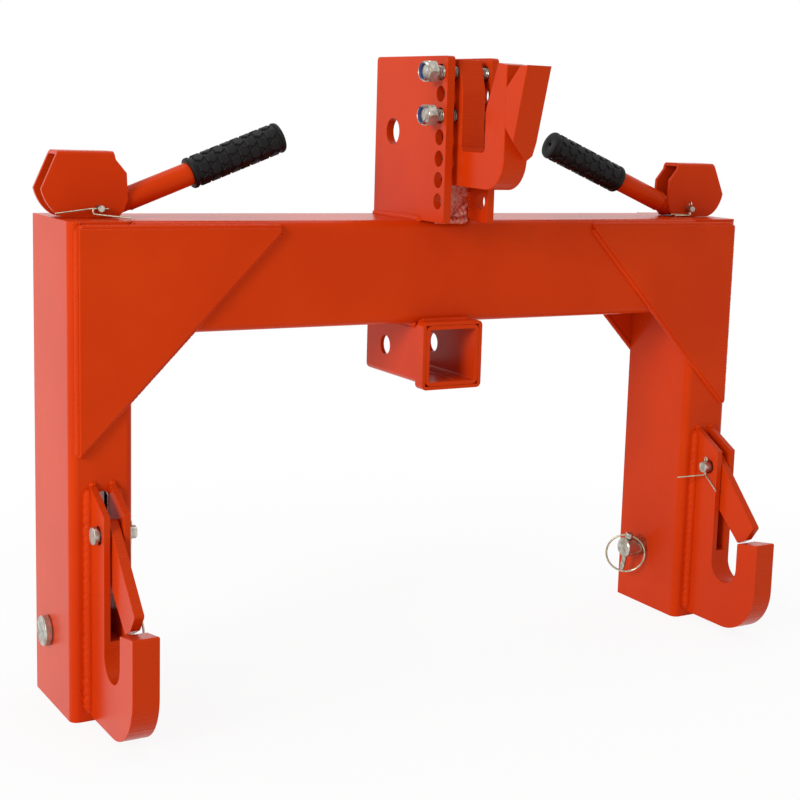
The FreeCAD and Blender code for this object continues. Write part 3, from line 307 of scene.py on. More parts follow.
@dataclass(frozen=True)
class MouldedRubber:
    """Soft black rubber from a fine-blasted mould: a broad dull sheen and no colour."""

    name: str = "moulded black rubber"
    colour: str = "#0a0909"
    bloom: str = "#141212"
    roughness: float = 0.5
    ior: float = 1.5
    gloss: float = 0.2
    bloom_per_metre: float = 95.0
    grain_per_metre: float = 1250.0

    def build(self) -> bpy.types.Material:
        """Make the material."""
        material, tree = blank(self.name)
        place = add(tree, "ShaderNodeTexCoord").outputs
        # Pale bloom gathers in patches of about 10 mm.
        bloom = add(tree, "ShaderNodeTexNoise", {"Scale": self.bloom_per_metre,
                                                 "Detail": 5.0},
                    {"Vector": place["Object"]})
        colour = add(tree, "ShaderNodeMix", {"data_type": "RGBA", 6: srgb(self.colour),
                                             7: srgb(self.bloom)}, {0: bloom.outputs[0]})
        # Blasted mould skin: real grain is 0.2 mm, drawn at 0.8 mm so that it shows.
        grain = add(tree, "ShaderNodeTexNoise", {"Scale": self.grain_per_metre,
                                                 "Detail": 2.0},
                    {"Vector": place["Object"]})
        bump = add(tree, "ShaderNodeBump", {"Strength": 0.25, "Distance": 0.0003},
                   {"Height": grain.outputs[0]})
        surface = add(tree, "ShaderNodeBsdfPrincipled", {"Roughness": self.roughness,
                                                        "IOR": self.ior,
                                                        "Specular IOR Level": self.gloss},
                      {"Base Color": colour.outputs[2], "Normal": bump.outputs[0]})
        add(tree, "ShaderNodeOutputMaterial", {}, {0: surface.outputs[0]})
        return material


@dataclass(frozen=True)
class MouldedNylon:
    """Blue nylon lock ring, moulded and slightly waxy."""

    name: str = "moulded blue nylon"
    colour: str = "#2c3f7d"
    shade: str = "#20305f"
    roughness: float = 0.42
    ior: float = 1.53
    depth: float = 0.05
    cloud_per_metre: float = 300.0

    def build(self) -> bpy.types.Material:
        """Make the material."""
        material, tree = blank(self.name)
        place = add(tree, "ShaderNodeTexCoord").outputs
        # The pigment clouds faintly, in spots of about 3 mm.
        cloud = add(tree, "ShaderNodeTexNoise", {"Scale": self.cloud_per_metre, "Detail": 2.0},
                    {"Vector": place["Object"]})
        colour = add(tree, "ShaderNodeMix", {"data_type": "RGBA", 6: srgb(self.colour),
                                             7: srgb(self.shade)}, {0: cloud.outputs[0]})
        surface = add(tree, "ShaderNodeBsdfPrincipled",
                      {"Roughness": self.roughness, "IOR": self.ior,
                       "Subsurface Weight": self.depth},
                      {"Base Color": colour.outputs[2]})
        add(tree, "ShaderNodeOutputMaterial", {}, {0: surface.outputs[0]})
        return material


@dataclass
class Finishes:
    """All finishes of the hitch, each made once."""

    paint: bpy.types.Material = field(default_factory=lambda: PowderCoat().build())
    cut_paint: bpy.types.Material = field(default_factory=lambda: PowderCoat(
        name="gloss orange powder coat over plasma-cut edges", cut_lines=0.6).build())
    dusty_paint: bpy.types.Material = field(default_factory=lambda: PowderCoat(
        name="dusty orange powder coat", roughness=0.45, dust=0.85).build())
    weld_paint: bpy.types.Material = field(default_factory=lambda: PowderCoat(
        name="gloss orange powder coat over weld", roughness=0.4).build())
    zinc: bpy.types.Material = field(default_factory=lambda: PlatedSteel().build())
    thread: bpy.types.Material = field(default_factory=lambda: PlatedSteel(
        name="zinc plated thread", thread=1.75 * MM).build())
    wire: bpy.types.Material = field(default_factory=lambda: PlatedSteel(
        name="zinc plated spring wire", colour="#c4bca6", dull="#a49a80", roughness=0.25).build())
    # The pull rod's dark grey is painted shade: drawn as dark as the rod looks down in the leg's
    # slot.
    steel: bpy.types.Material = field(default_factory=lambda: PlatedSteel(
        name="cold drawn steel bar", colour="#3d3936", dull="#24211f", roughness=0.5).build())
    rubber: bpy.types.Material = field(default_factory=lambda: MouldedRubber().build())
    nylon: bpy.types.Material = field(default_factory=lambda: MouldedNylon().build())


# Shaping helpers

def box_mm(node: str) -> tuple[Point, Point]:
    """Lowest and highest corners of a CAD node in millimetres, to a thousandth.

    Args:
        node: Name of the node.

    Returns:
        The two corners.
    """
    low, high = ([round(c / MM, 3) for c in corner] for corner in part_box(node))
    return tuple(low), tuple(high)


def middle_mm(node: str) -> Point:
    """Centre of a CAD node's box in millimetres."""
    low, high = box_mm(node)
    return tuple((a + b) / 2 for a, b in zip(low, high))


def piece(name: str, shape: bmesh.types.BMesh, finish: bpy.types.Material, body: str,
          smooth: float = 40.0) -> bpy.types.Object:
    """Turn a finished bmesh into an object that rides on a body.

    Args:
        name: Name of the piece.
        shape: The mesh, in metres and in place. It is freed here.
        finish: Material of the piece.
        body: CAD body that carries the piece.
        smooth: Edges that turn by more than this many degrees stay sharp.

    Returns:
        The new object.
    """
    limit = math.radians(smooth)
    for face in shape.faces:
        face.smooth = True
    for edge in shape.edges:
        edge.smooth = len(edge.link_faces) == 2 and edge.calc_face_angle(0.0) < limit
    mesh = bpy.data.meshes.new(name)
    shape.to_mesh(mesh)
    shape.free()
    thing = bpy.data.objects.new(name, mesh)
    bpy.context.scene.collection.objects.link(thing)
    mesh.materials.append(finish)
    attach(thing, body)
    LOG.info("%s: %d faces on %s", name, len(mesh.polygons), body)
    return thing


def dress(node: bpy.types.Object, finish: bpy.types.Material) -> None:
    """Give a CAD node a finish.

    Args:
        node: Object of the node.
        finish: Its material.
    """
    node.data.materials.clear()
    node.data.materials.append(finish)
    LOG.info("%s: %s", node.name, finish.name)


def softened(node: bpy.types.Object, finish: bpy.types.Material, body: str,
             edge: float = 0.8) -> bpy.types.Object:
    """Replace a CAD node with a copy whose sharp edges are rounded as paint rounds them.

    Args:
        node: Object of the node.
        finish: Material of the copy.
        body: CAD body that carries it.
        edge: Width of the rounding in millimetres.

    Returns:
        The new object.
    """
    shape = bmesh.new()
    shape.from_mesh(node.data)
    bmesh.ops.remove_doubles(shape, verts=shape.verts[:], dist=SAME_POINT)
    bmesh.ops.dissolve_limit(shape, angle_limit=math.radians(FLAT_ANGLE), verts=shape.verts[:],
                             edges=shape.edges[:])
    limit = math.radians(ROUNDED_ANGLE)
    sharp = [e for e in shape.edges if len(e.link_faces) == 2 and e.calc_face_angle(0.0) > limit]
    bmesh.ops.bevel(shape, geom=sharp, offset=edge * MM, offset_type="OFFSET", segments=2,
                    profile=0.5, affect="EDGES", clamp_overlap=True, material=-1)
    new = piece(f"{node.name}.coated", shape, finish, body, smooth=55.0)
    weigh = new.modifiers.new("flat faces stay flat", "WEIGHTED_NORMAL")
    weigh.keep_sharp = True
    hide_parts(node.name)
    return new


def aligned(point: Vector, along: Vector, up: Vector, size: float, lean: float = 0.0) -> Matrix:
    """Matrix that stands a unit section across a path.

    Args:
        point: Where the section goes.
        along: Direction of the path.
        up: Direction that the section's Y leans towards.
        size: Scale of the section.
        lean: Turn about the section's X, in degrees.

    Returns:
        The matrix.
    """
    ahead = along.normalized()
    side = up.cross(ahead).normalized()
    frame = Matrix((side, ahead.cross(side), ahead)).transposed().to_4x4()
    tilt = Matrix.Rotation(math.radians(lean), 4, "X")
    return Matrix.Translation(point) @ frame @ tilt @ Matrix.Scale(size, 4)


@dataclass
class Weld:
    """A run of MIG weld under paint: overlapping round ripples with a soft outline."""

    path: Sequence[Point]
    up: Point
    radius: float = 3.2
    pitch: float = 3.4
    closed: bool = False
    ripple: float = 0.1
    sides: int = 12
    lean: float = 18.0
    wander: float = 0.03

    def stations(self, chance: random.Random) -> list[tuple[Vector, Vector, float]]:
        """Points along the run, four to a ripple, each with its direction and its size.

        Args:
            chance: Seeded source of the unevenness of the ripples.

        Returns:
            The points with their directions, and the share of the full radius there.
        """
        corners = [Vector(p) for p in self.path]
        found: list[tuple[Vector, Vector, float]] = []
        for start, stop in zip(corners, corners[1:]):
            ahead = (stop - start).normalized()
            beads = max(1, round((stop - start).length / self.pitch))
            ends = [0.0]
            for _ in range(beads):
                ends.append(ends[-1] + chance.uniform(0.75, 1.25))
            for first, last in zip(ends, ends[1:]):
                swell = 1 - self.ripple * chance.uniform(0.0, 0.5)
                for quarter in range(4):
                    share = (first + (last - first) * quarter / 4) / ends[-1]
                    dip = self.ripple * (quarter / 2 - 1) ** 2
                    found.append((start.lerp(stop, share), ahead, swell - dip))
        found.append((corners[-1], (corners[-1] - corners[-2]).normalized(), 1 - self.ripple))
        return found

    def build(self, shape: bmesh.types.BMesh, chance: random.Random) -> None:
        """Add the run to a mesh.

        Args:
            shape: Mesh in metres.
            chance: Seeded source of the small unevenness.
        """
        stations = self.stations(chance)
        up = Vector(self.up)
        last: Optional[Matrix] = None
        face: Optional[bmesh.types.BMFace] = None
        for number, (point, ahead, share) in enumerate(stations):
            end = min(number, len(stations) - 1 - number)
            taper = 1.0 if self.closed or end > 2 else 0.4 + 0.2 * end
            drift = Vector(chance.uniform(-self.wander, self.wander) * self.radius
                           for _ in range(3))
            matrix = aligned((point + drift) * MM, ahead, up, self.radius * share * taper * MM,
                             lean=self.lean)
            if face is None:
                made = bmesh.ops.create_circle(shape, cap_ends=True, segments=self.sides,
                                               radius=1.0, matrix=matrix)
                face = made["verts"][0].link_faces[0]
            else:
                grown = bmesh.ops.extrude_face_region(shape, geom=[face])["geom"]
                verts = [g for g in grown if isinstance(g, bmesh.types.BMVert)]
                face = next(g for g in grown if isinstance(g, bmesh.types.BMFace))
                bmesh.ops.transform(shape, matrix=matrix @ last.inverted(), verts=verts)
            last = matrix


def welds(name: str, runs: Iterable[Weld], body: str, finish: bpy.types.Material,
          spatter: Sequence[Point] = ()) -> bpy.types.Object:
    """One piece of several weld runs, with beads of spatter beside them.

    Args:
        name: Name of the piece, which also seeds its unevenness.
        runs: The runs.
        body: CAD body that carries them.
        finish: Material.
        spatter: Centres of stray beads in millimetres.

    Returns:
        The new object.
    """
    chance = random.Random(name)
    shape = bmesh.new()
    for run in runs:
        run.build(shape, chance)
    for centre in spatter:
        bmesh.ops.create_icosphere(shape, subdivisions=2, radius=chance.uniform(0.5, 1.1) * MM,
                                   matrix=Matrix.Translation(Vector(centre) * MM))
    bmesh.ops.recalc_face_normals(shape, faces=shape.faces[:])
    return piece(name, shape, finish, body, smooth=80.0)


def ring_path(centre: Vector, axis: Vector, radius: float, start: Vector,
              count: int = 40) -> list[Point]:
    """Closed circle of points about an axis.

    Args:
        centre: Centre of the circle in millimetres.
        axis: Its axis.
        radius: Its radius in millimetres.
        start: Direction of the first point.
        count: Number of points.

    Returns:
        The points, the first one again at the end.
    """
    points = []
    for step in range(count + 1):
        turn = Matrix.Rotation(2 * math.pi * step / count, 3, axis)
        points.append(tuple(centre + turn @ (start.normalized() * radius)))
    return points


# Sub-assemblies

@dataclass
class WeldedFrame:
    """Legs, crossbeam and corner plates."""

    finishes: Finishes
    nodes: dict[str, bpy.types.Object]
    proud: float = 1.2
    nose_edge: float = 4.0
    nose_inset: float = 1.0
    joint_back: float = 3.2

    def gusset_runs(self, side: Side, front: bool) -> list[Weld]:
        """Welds along three edges of a corner plate.

        Args:
            side: Which leg.
            front: Whether the plate is in front of the frame or behind it.

        Returns:
            The runs.
        """
        low, high = box_mm("right_front_gusset" if front else "right_rear_gusset")
        face = high[1] - self.proud if front else low[1] + self.proud
        out = -1.0 if front else 1.0
        x = side.value
        foot = (x * high[0], face, low[2])
        top = (x * high[0], face, high[2])
        tip = (x * (low[0] - self.nose_inset), face, high[2])
        nose = (x * (low[0] - self.nose_inset), face, high[2] - self.nose_edge)
        return [Weld([foot, top], (0, out, 0), 3.4, ripple=0.07),
                Weld([top, tip], (0, out, 0), 3.6, ripple=0.07),
                Weld([nose, foot], (0, out, 0), 3.0, ripple=0.09)]

    def build(self) -> None:
        """Dress the frame and lay its welds."""
        softened(self.nodes["crossbeam"], self.finishes.paint, "frame", 0.5)
        (inner, _, _), (outer, _, height) = box_mm("right_leg")
        (plate_in, _, cap), (plate_out, _, _) = box_mm("right_leg_top_plate")
        under_beam = box_mm("crossbeam")[0][2]
        for side in Side:
            word, x = side.word, side.value
            softened(self.nodes[f"{word}_leg"], self.finishes.paint, "frame", 0.6)
            softened(self.nodes[f"{word}_leg_top_plate"], self.finishes.paint, "frame", 0.3)
            for end in ("front", "rear"):
                softened(self.nodes[f"{word}_{end}_gusset"], self.finishes.paint, "frame", 1.2)
                welds(f"{word}_{end}_gusset_weld", self.gusset_runs(side, end == "front"),
                      "frame", self.finishes.weld_paint)
            seam = x * (inner - 0.6)
            under = Weld([(seam, 8, under_beam - 0.6), (seam, 97, under_beam - 0.6)],
                         (-x, 0, -1), 3.4)
            lips = [Weld([(x * at, 10, cap - 0.2), (x * at, 103, cap - 0.2)], (way, 0, -1), 2.2)
                    for at, way in ((plate_out - 0.4, -x), (plate_in + 0.4, x))]
            corner = [(x * (outer - 2.2), 2.6, height - 1.6),
                      (x * (outer - 5.5), 1.2, height - 1.4),
                      (x * (outer - 11), 0.2, height - 1.8)]
            blob = Weld(corner, (0, -1, 1), 1.9, pitch=2.6, ripple=0.2)
            joint = Weld([(x * inner, self.joint_back, under_beam + 2),
                          (x * inner, self.joint_back, height - 0.8)], (0, -1, 0), 3.6, pitch=7)
            welds(f"{word}_corner_weld", [under, *lips, blob, joint], "frame",
                  self.finishes.weld_paint)


@dataclass
class Receiver:
    """Square receiver tube and its collar."""

    finishes: Finishes
    nodes: dict[str, bpy.types.Object]
    proud: float = 0.6
    seam_across: float = 6.0
    wall: float = 4.1

    def build(self) -> None:
        """Dress the receiver and weld it under the beam."""
        softened(self.nodes["receiver_tube"], self.finishes.paint, "frame", 0.6)
        softened(self.nodes["receiver_collar"], self.finishes.paint, "frame", 0.9)
        (_, mouth, low), (tube, rear, top) = box_mm("receiver_tube")
        _, (_, back, high) = box_mm("receiver_collar")
        # A weld along each top edge of the tube, then round the back of the collar.
        runs = [Weld([(x * tube, 3, top - 0.8), (x * tube, 99, top - 0.8)], (x, 0, -0.4), 3.0)
                for x in (-1, 1)]
        across = tube - 4
        wide, bead = across + 3, back + 4.5
        runs.append(Weld([(-wide, bead, high - 1.8), (wide, bead, high - 1.8)],
                         (0, 0, 1), 3.9, pitch=6, ripple=0.06))
        behind = back + self.proud
        runs.append(Weld([(-across, behind, low), (across, behind, low)], (0, 0, -1), 2.6))
        for x in (-1, 1):
            runs.append(Weld([(x * tube, behind, low + 4), (x * tube, behind, high - 8)],
                             (x, 0, 0), 2.6))
        welds("receiver_weld", runs, "frame", self.finishes.weld_paint)
        inside = low + self.wall
        seam = Weld([(self.seam_across, mouth + 3, inside), (self.seam_across, rear - 1, inside)],
                    (0, 0, 1), 0.7, pitch=12, ripple=0.02)
        welds("receiver_tube_seam", [seam], "frame", self.finishes.paint)


@dataclass
class Mast:
    """Two drilled plates with a web between them."""

    finishes: Finishes
    nodes: dict[str, bpy.types.Object]
    proud: float = 0.8
    below_hook: float = 5.0

    def build(self) -> None:
        """Dress the mast and lay its welds."""
        (gap, _, beam), (outer, rear, _) = box_mm("right_mast_plate")
        web = box_mm("mast_web")[0][1]
        foot = beam + self.proud
        # The web's side welds stop under the top hook, which slides between the plates.
        weld_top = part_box("top_hook")[0][2] / MM - self.below_hook
        runs = []
        for side in Side:
            x = side.value
            softened(self.nodes[f"{side.word}_mast_plate"], self.finishes.cut_paint, "frame", 0.8)
            runs.append(Weld([(x * outer, 2, foot), (x * outer, rear - 1, foot)], (x, 0, 1), 3.4,
                             ripple=0.06))
            runs.append(Weld([(x * (outer - 3), rear, foot), (x * gap, rear, foot)],
                             (0, 1, 1), 2.6))
            runs.append(Weld([(x * gap, web - 0.4, beam + 2), (x * gap, web - 0.4, weld_top)],
                             (-x, -1, 0), 2.8, ripple=0.2))
        welds("mast_weld", runs, "frame", self.finishes.weld_paint)
        softened(self.nodes["mast_web"], self.finishes.dusty_paint, "frame", 0.8)
        # The foot of the web was welded by hand: three short uneven runs and stray drops.
        rough = [Weld([(-18, web - 0.6, foot), (18, web - 0.6, foot)],
                      (0, -1, 1), 4.2, pitch=4.6, ripple=0.3),
                 Weld([(2, web - 1.0, foot + 4), (17, web - 1.2, foot + 9)],
                      (0, -1, 0.2), 3.4, pitch=5, ripple=0.35),
                 Weld([(8, web - 1.0, foot + 7), (18, web - 1.0, foot + 17)],
                      (0, -1, 0.2), 3.0, pitch=5, ripple=0.35)]
        drops = [(across, web - 0.2, beam + rise)
                 for across, rise in ((-12, 16), (-6, 25), (3, 22), (9, 30), (-3, 12))]
        welds("mast_web_weld", rough, "frame", self.finishes.dusty_paint, drops)


@dataclass
class TopHook:
    """Top hook with its guide, and the two bolts that carry it."""

    finishes: Finishes
    nodes: dict[str, bpy.types.Object]
    bolts: tuple[float, float] = (586.0, 546.0)
    nut_start: float = -36.0
    nut_flats: float = 19.0
    nut_body: float = 8.6
    collar_radius: float = 8.7
    collar_end: float = -48.0
    thread: float = 6.0
    clipped: float = 1.5

    @property
    def bolt_back(self) -> float:
        """Where the bolts lie along Y, from the CAD's bolts."""
        return middle_mm("top_hook_bolts")[1]

    def nut(self, rise: float) -> bmesh.types.BMesh:
        """Hexagon with clipped corners and the rolled collar that holds the plastic ring.

        Args:
            rise: Height of the bolt.

        Returns:
            The nut as a mesh.
        """
        shape = bmesh.new()
        place = Matrix.Translation(Vector((self.nut_start, self.bolt_back, rise)) * MM)
        lie = Matrix.Rotation(math.radians(-90), 4, "Y")
        across = self.nut_flats / 2 / math.cos(math.radians(30)) * MM
        made = bmesh.ops.create_circle(shape, cap_ends=True, segments=6, radius=across,
                                       matrix=place @ lie)
        near = made["verts"][0].link_faces[0]
        grown = bmesh.ops.extrude_face_region(shape, geom=[near])["geom"]
        verts = [g for g in grown if isinstance(g, bmesh.types.BMVert)]
        bmesh.ops.translate(shape, vec=(-self.nut_body * MM, 0, 0), verts=verts)
        bmesh.ops.bevel(shape, geom=shape.verts[:], offset=self.clipped * MM,
                        offset_type="OFFSET", segments=1, profile=0.5, affect="VERTICES",
                        clamp_overlap=True, material=-1)
        face, round_, end = self.nut_start - self.nut_body, self.collar_radius, self.collar_end
        profile = [(face + 0.2, round_ + 0.3), (face - 0.8, round_), (end + 1.4, round_ - 0.2),
                   (end + 0.2, round_ - 0.3), (end, round_ - 0.6), (end + 0.3, round_ - 0.9),
                   (end + 3.0, round_ - 0.9)]
        self.turned(shape, profile, rise)
        bmesh.ops.recalc_face_normals(shape, faces=shape.faces[:])
        return shape

    def turned(self, shape: bmesh.types.BMesh, profile: Sequence[tuple[float, float]],
               rise: float) -> None:
        """Spin a profile about a bolt.

        Args:
            shape: Mesh that gets the turned shell.
            profile: Points as (x, radius) in millimetres.
            rise: Height of the bolt.
        """
        centre = Vector((0, self.bolt_back, rise)) * MM
        verts = [shape.verts.new(centre + Vector((x, 0, radius)) * MM) for x, radius in profile]
        edges = [shape.edges.new(pair) for pair in zip(verts, verts[1:])]
        bmesh.ops.spin(shape, geom=verts + edges, cent=centre, axis=(1, 0, 0),
                       angle=2 * math.pi, steps=40, use_merge=True)

    def build(self) -> None:
        """Dress the hook and its fasteners."""
        softened(self.nodes["top_hook"], self.finishes.cut_paint, "top_hook", 0.8)
        softened(self.nodes["top_hook_guide"], self.finishes.cut_paint, "top_hook", 0.8)
        dress(self.nodes["top_hook_bolts"], self.finishes.thread)
        for number, rise in enumerate(self.bolts):
            piece(f"lock_nut_{number}", self.nut(rise), self.finishes.zinc,
                                  "frame", 35.0)
            ring = bmesh.new()
            inner, outer = self.thread + 0.1, self.collar_radius - 0.9
            end = self.collar_end
            self.turned(ring, [(end + 2.6, outer), (end + 1.0, outer), (end + 0.7, outer - 0.2),
                               (end + 0.7, inner + 0.4), (end + 1.2, inner), (end + 2.8, inner)],
                        rise)
            bmesh.ops.recalc_face_normals(ring, faces=ring.faces[:])
            lock = piece(f"lock_ring_{number}", ring, self.finishes.nylon, "frame")
            if number == 0:
                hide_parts("nut_inserts")
        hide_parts("top_hook_nuts")


@dataclass
class LowerHook:
    """Forked lower hook with its latch, pivot pin and split pin."""

    finishes: Finishes
    nodes: dict[str, bpy.types.Object]
    side: Side
    above_foot: float = 1.5
    below_top: float = 1.0
    prong: float = 9.0
    spatter: int = 7

    def build(self) -> None:
        """Dress the hook and weld it to the leg."""
        word = self.side.word
        softened(self.nodes[f"{word}_lower_hook"], self.finishes.cut_paint, "frame", 0.8)
        softened(self.nodes[f"{word}_latch"], self.finishes.cut_paint, f"{word}_latch", 0.8)
        dress(self.nodes[f"{word}_latch_pin"], self.finishes.zinc)
        dress(self.nodes[f"{word}_latch_split_pin"], self.finishes.wire)
        low, high = box_mm(f"{word}_lower_hook")
        centre, half = (low[0] + high[0]) / 2, (high[0] - low[0]) / 2
        foot, fork_top = low[2] + self.above_foot, high[2] - self.below_top
        runs = []
        for flank in (-1, 1):
            at = centre + flank * (half + 0.6)
            runs.append(Weld([(at, -0.8, foot), (at, -0.8, fork_top - 3)],
                             (flank, -1, 0), 5.6, pitch=8, ripple=0.13))
            top = centre + flank * self.prong
            runs.append(Weld([(top - 3, -0.6, fork_top + 1), (top + 3, -0.6, fork_top + 1)],
                             (0, -1, 1), 2.6, pitch=3, ripple=0.25))
        chance = random.Random(word)
        spots = [(centre + flank * (half + chance.uniform(4, 9)), -0.2,
                  foot + chance.uniform(2, 42)) for flank in (-1, 1) for _ in range(self.spatter)]
        welds(f"{word}_hook_weld", runs, "frame", self.finishes.weld_paint, spots)


@dataclass
class CamLever:
    """Release lever: folded housing, handle tube and honeycomb grip."""

    finishes: Finishes
    nodes: dict[str, bpy.types.Object]
    side: Side
    tube_out: float = 31.0
    tube_up: float = 7.7
    slope: float = 21.6
    grip_start: float = 62.0
    grip_length: float = 96.0
    grip_radius: float = 14.5
    groove: float = 1.5
    rim: float = 4.2
    vent: float = 2.0
    pads_around: int = 7
    pads_along: int = 8
    groove_width: float = 1.9
    pad_slope: float = 1.1
    pad_height: float = 0.75
    skirt: float = 1.6
    tube_bore: float = 10.66

    def along_tube(self) -> Matrix:
        """Matrix, in metres, whose +X runs out along the handle from its reference point."""
        x = self.side.value
        pin = middle_mm(f"{self.side.word}_lever_pin")
        start = Vector((pin[0] - x * self.tube_out, middle_mm(f"{self.side.word}_cam_housing")[1],
                        pin[2] + self.tube_up))
        lift = math.radians(self.slope)
        out = Vector((-x * math.cos(lift), 0, math.sin(lift)))
        back = Vector((0, x, 0))
        frame = Matrix((out, back, out.cross(back))).transposed().to_4x4()
        return Matrix.Translation(start * MM) @ frame

    def grip_core(self, shape: bmesh.types.BMesh) -> None:
        """Spin the sleeve under the pads, with a smooth rim at each end and a vented end.

        Args:
            shape: Mesh that gets the sleeve, along +X.
        """
        first, last = self.grip_start, self.grip_start + self.grip_length
        low, high = self.grip_radius - self.groove, self.grip_radius
        inner_rim, outer_rim = first + self.rim, last - self.rim
        profile = [(first, self.tube_bore), (first, high - 1.2), (first + 0.4, high - 0.4),
                   (first + 1.4, high), (inner_rim - 0.8, high), (inner_rim, high - 0.6),
                   (inner_rim + 0.3, low), (outer_rim - 0.3, low), (outer_rim, high - 0.6),
                   (outer_rim + 0.8, high), (last - 2.2, high), (last - 0.7, high - 0.6),
                   (last, high - 2.2), (last, self.vent + 0.5), (last - 0.5, self.vent),
                   (last - 5, self.vent), (last - 5, 0.0)]
        verts = [shape.verts.new(Vector((x, 0, radius)) * MM) for x, radius in profile]
        edges = [shape.edges.new(pair) for pair in zip(verts, verts[1:])]
        bmesh.ops.spin(shape, geom=verts + edges, cent=(0, 0, 0), axis=(1, 0, 0),
                       angle=2 * math.pi, steps=56, use_merge=True)
        bmesh.ops.remove_doubles(shape, verts=shape.verts[:], dist=1e-6)
        bmesh.ops.recalc_face_normals(shape, faces=shape.faces[:])

    def grip_pads(self, shape: bmesh.types.BMesh) -> None:
        """Lay the hexagonal pads flat and give them their chamfers.

        Args:
            shape: Mesh that gets the pads, along +X.
        """
        around = 2 * math.pi * self.grip_radius / self.pads_around
        first = self.grip_start + self.rim + 0.8
        last = self.grip_start + self.grip_length - self.rim - 0.8
        along = (last - first) / (self.pads_along + 0.333)
        corner = along * 2 / 3 - self.groove_width / math.sqrt(3)
        squeeze = (around - self.groove_width) / (corner * math.sqrt(3))
        pads: list[bmesh.types.BMFace] = []
        for row in range(self.pads_along):
            for turn in range(self.pads_around):
                middle = (first + along * (row + 2 / 3), around * (turn + 0.5 * (row % 2)), 0)
                matrix = (Matrix.Translation(Vector(middle) * MM)
                          @ Matrix.Diagonal((1, squeeze, 1, 1))
                          @ Matrix.Rotation(math.pi / 3, 4, "Z"))
                made = bmesh.ops.create_circle(shape, cap_ends=True, segments=6,
                                               radius=corner * MM, matrix=matrix)
                pads += made["verts"][0].link_faces
        bmesh.ops.inset_individual(shape, faces=pads, thickness=self.pad_slope * MM,
                                   depth=self.pad_height * MM, use_even_offset=True)
        inner = [f for f in pads if f.is_valid]
        bmesh.ops.poke(shape, faces=inner)
        walls = [e for e in shape.edges if e.is_boundary]
        down = bmesh.ops.extrude_edge_only(shape, edges=walls)["geom"]
        skirt = [g for g in down if isinstance(g, bmesh.types.BMVert)]
        bmesh.ops.translate(shape, vec=(0, 0, -self.skirt * MM), verts=skirt)

    def wrapped(self, shape: bmesh.types.BMesh) -> None:
        """Roll a flat sheet in X and Y onto the grip's cylinder, Z becoming the height.

        Args:
            shape: Mesh to roll.
        """
        radius = self.grip_radius * MM
        base = radius - self.pad_height * MM
        for vert in shape.verts:
            angle = vert.co.y / radius
            out = base + vert.co.z
            vert.co.y = out * math.sin(angle)
            vert.co.z = out * math.cos(angle)

    def build(self) -> None:
        """Dress the lever and make its grip."""
        word = self.side.word
        body = f"{word}_cam_lever"
        softened(self.nodes[f"{word}_cam_housing"], self.finishes.paint, body, 0.6)
        softened(self.nodes[f"{word}_handle_tube"], self.finishes.paint, body, 0.4)
        dress(self.nodes[f"{word}_lever_pin"], self.finishes.zinc)
        dress(self.nodes[f"{word}_lever_split_pin"], self.finishes.wire)
        place = self.along_tube()
        sleeve = bmesh.new()
        self.grip_core(sleeve)
        bmesh.ops.transform(sleeve, matrix=place, verts=sleeve.verts[:])
        core = piece(f"{word}_grip_sleeve", sleeve, self.finishes.rubber, body, 50.0)
        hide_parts(f"{word}_grip")
        pads = bmesh.new()
        self.grip_pads(pads)
        self.wrapped(pads)
        bmesh.ops.transform(pads, matrix=place, verts=pads.verts[:])
        bmesh.ops.recalc_face_normals(pads, faces=pads.faces[:])
        piece(f"{word}_grip_pads", pads, self.finishes.rubber, body, 30.0)
        out = place.to_3x3() @ Vector((1, 0, 0))
        middle = place @ (Vector((0.4, 0, 0)) * MM) / MM
        run = Weld(ring_path(middle, out, 9.9, Vector((0, 1, 0))), tuple(out), 1.1, pitch=3.0,
                   closed=True, ripple=0.1)
        welds(f"{word}_handle_weld", [run], body, self.finishes.weld_paint)


@dataclass
class PullRod:
    """Rod from a latch up to its lever."""

    finishes: Finishes
    nodes: dict[str, bpy.types.Object]
    side: Side

    def build(self) -> None:
        """Dress the rod and its split pin."""
        word = self.side.word
        # The rod's dark finish is painted shade.
        dress(self.nodes[f"{word}_pull_rod"], self.finishes.steel)
        dress(self.nodes[f"{word}_rod_foot_split_pin"], self.finishes.wire)


@dataclass
class LinkPin:
    """Lower link pin with its linch pin and snap ring."""

    finishes: Finishes
    nodes: dict[str, bpy.types.Object]
    side: Side

    def build(self) -> None:
        """Dress the pin and its clip."""
        word = self.side.word
        dress(self.nodes[f"{word}_link_pin"], self.finishes.zinc)
        dress(self.nodes[f"{word}_linch_pin"], self.finishes.zinc)
        dress(self.nodes[f"{word}_linch_ring"], self.finishes.wire)


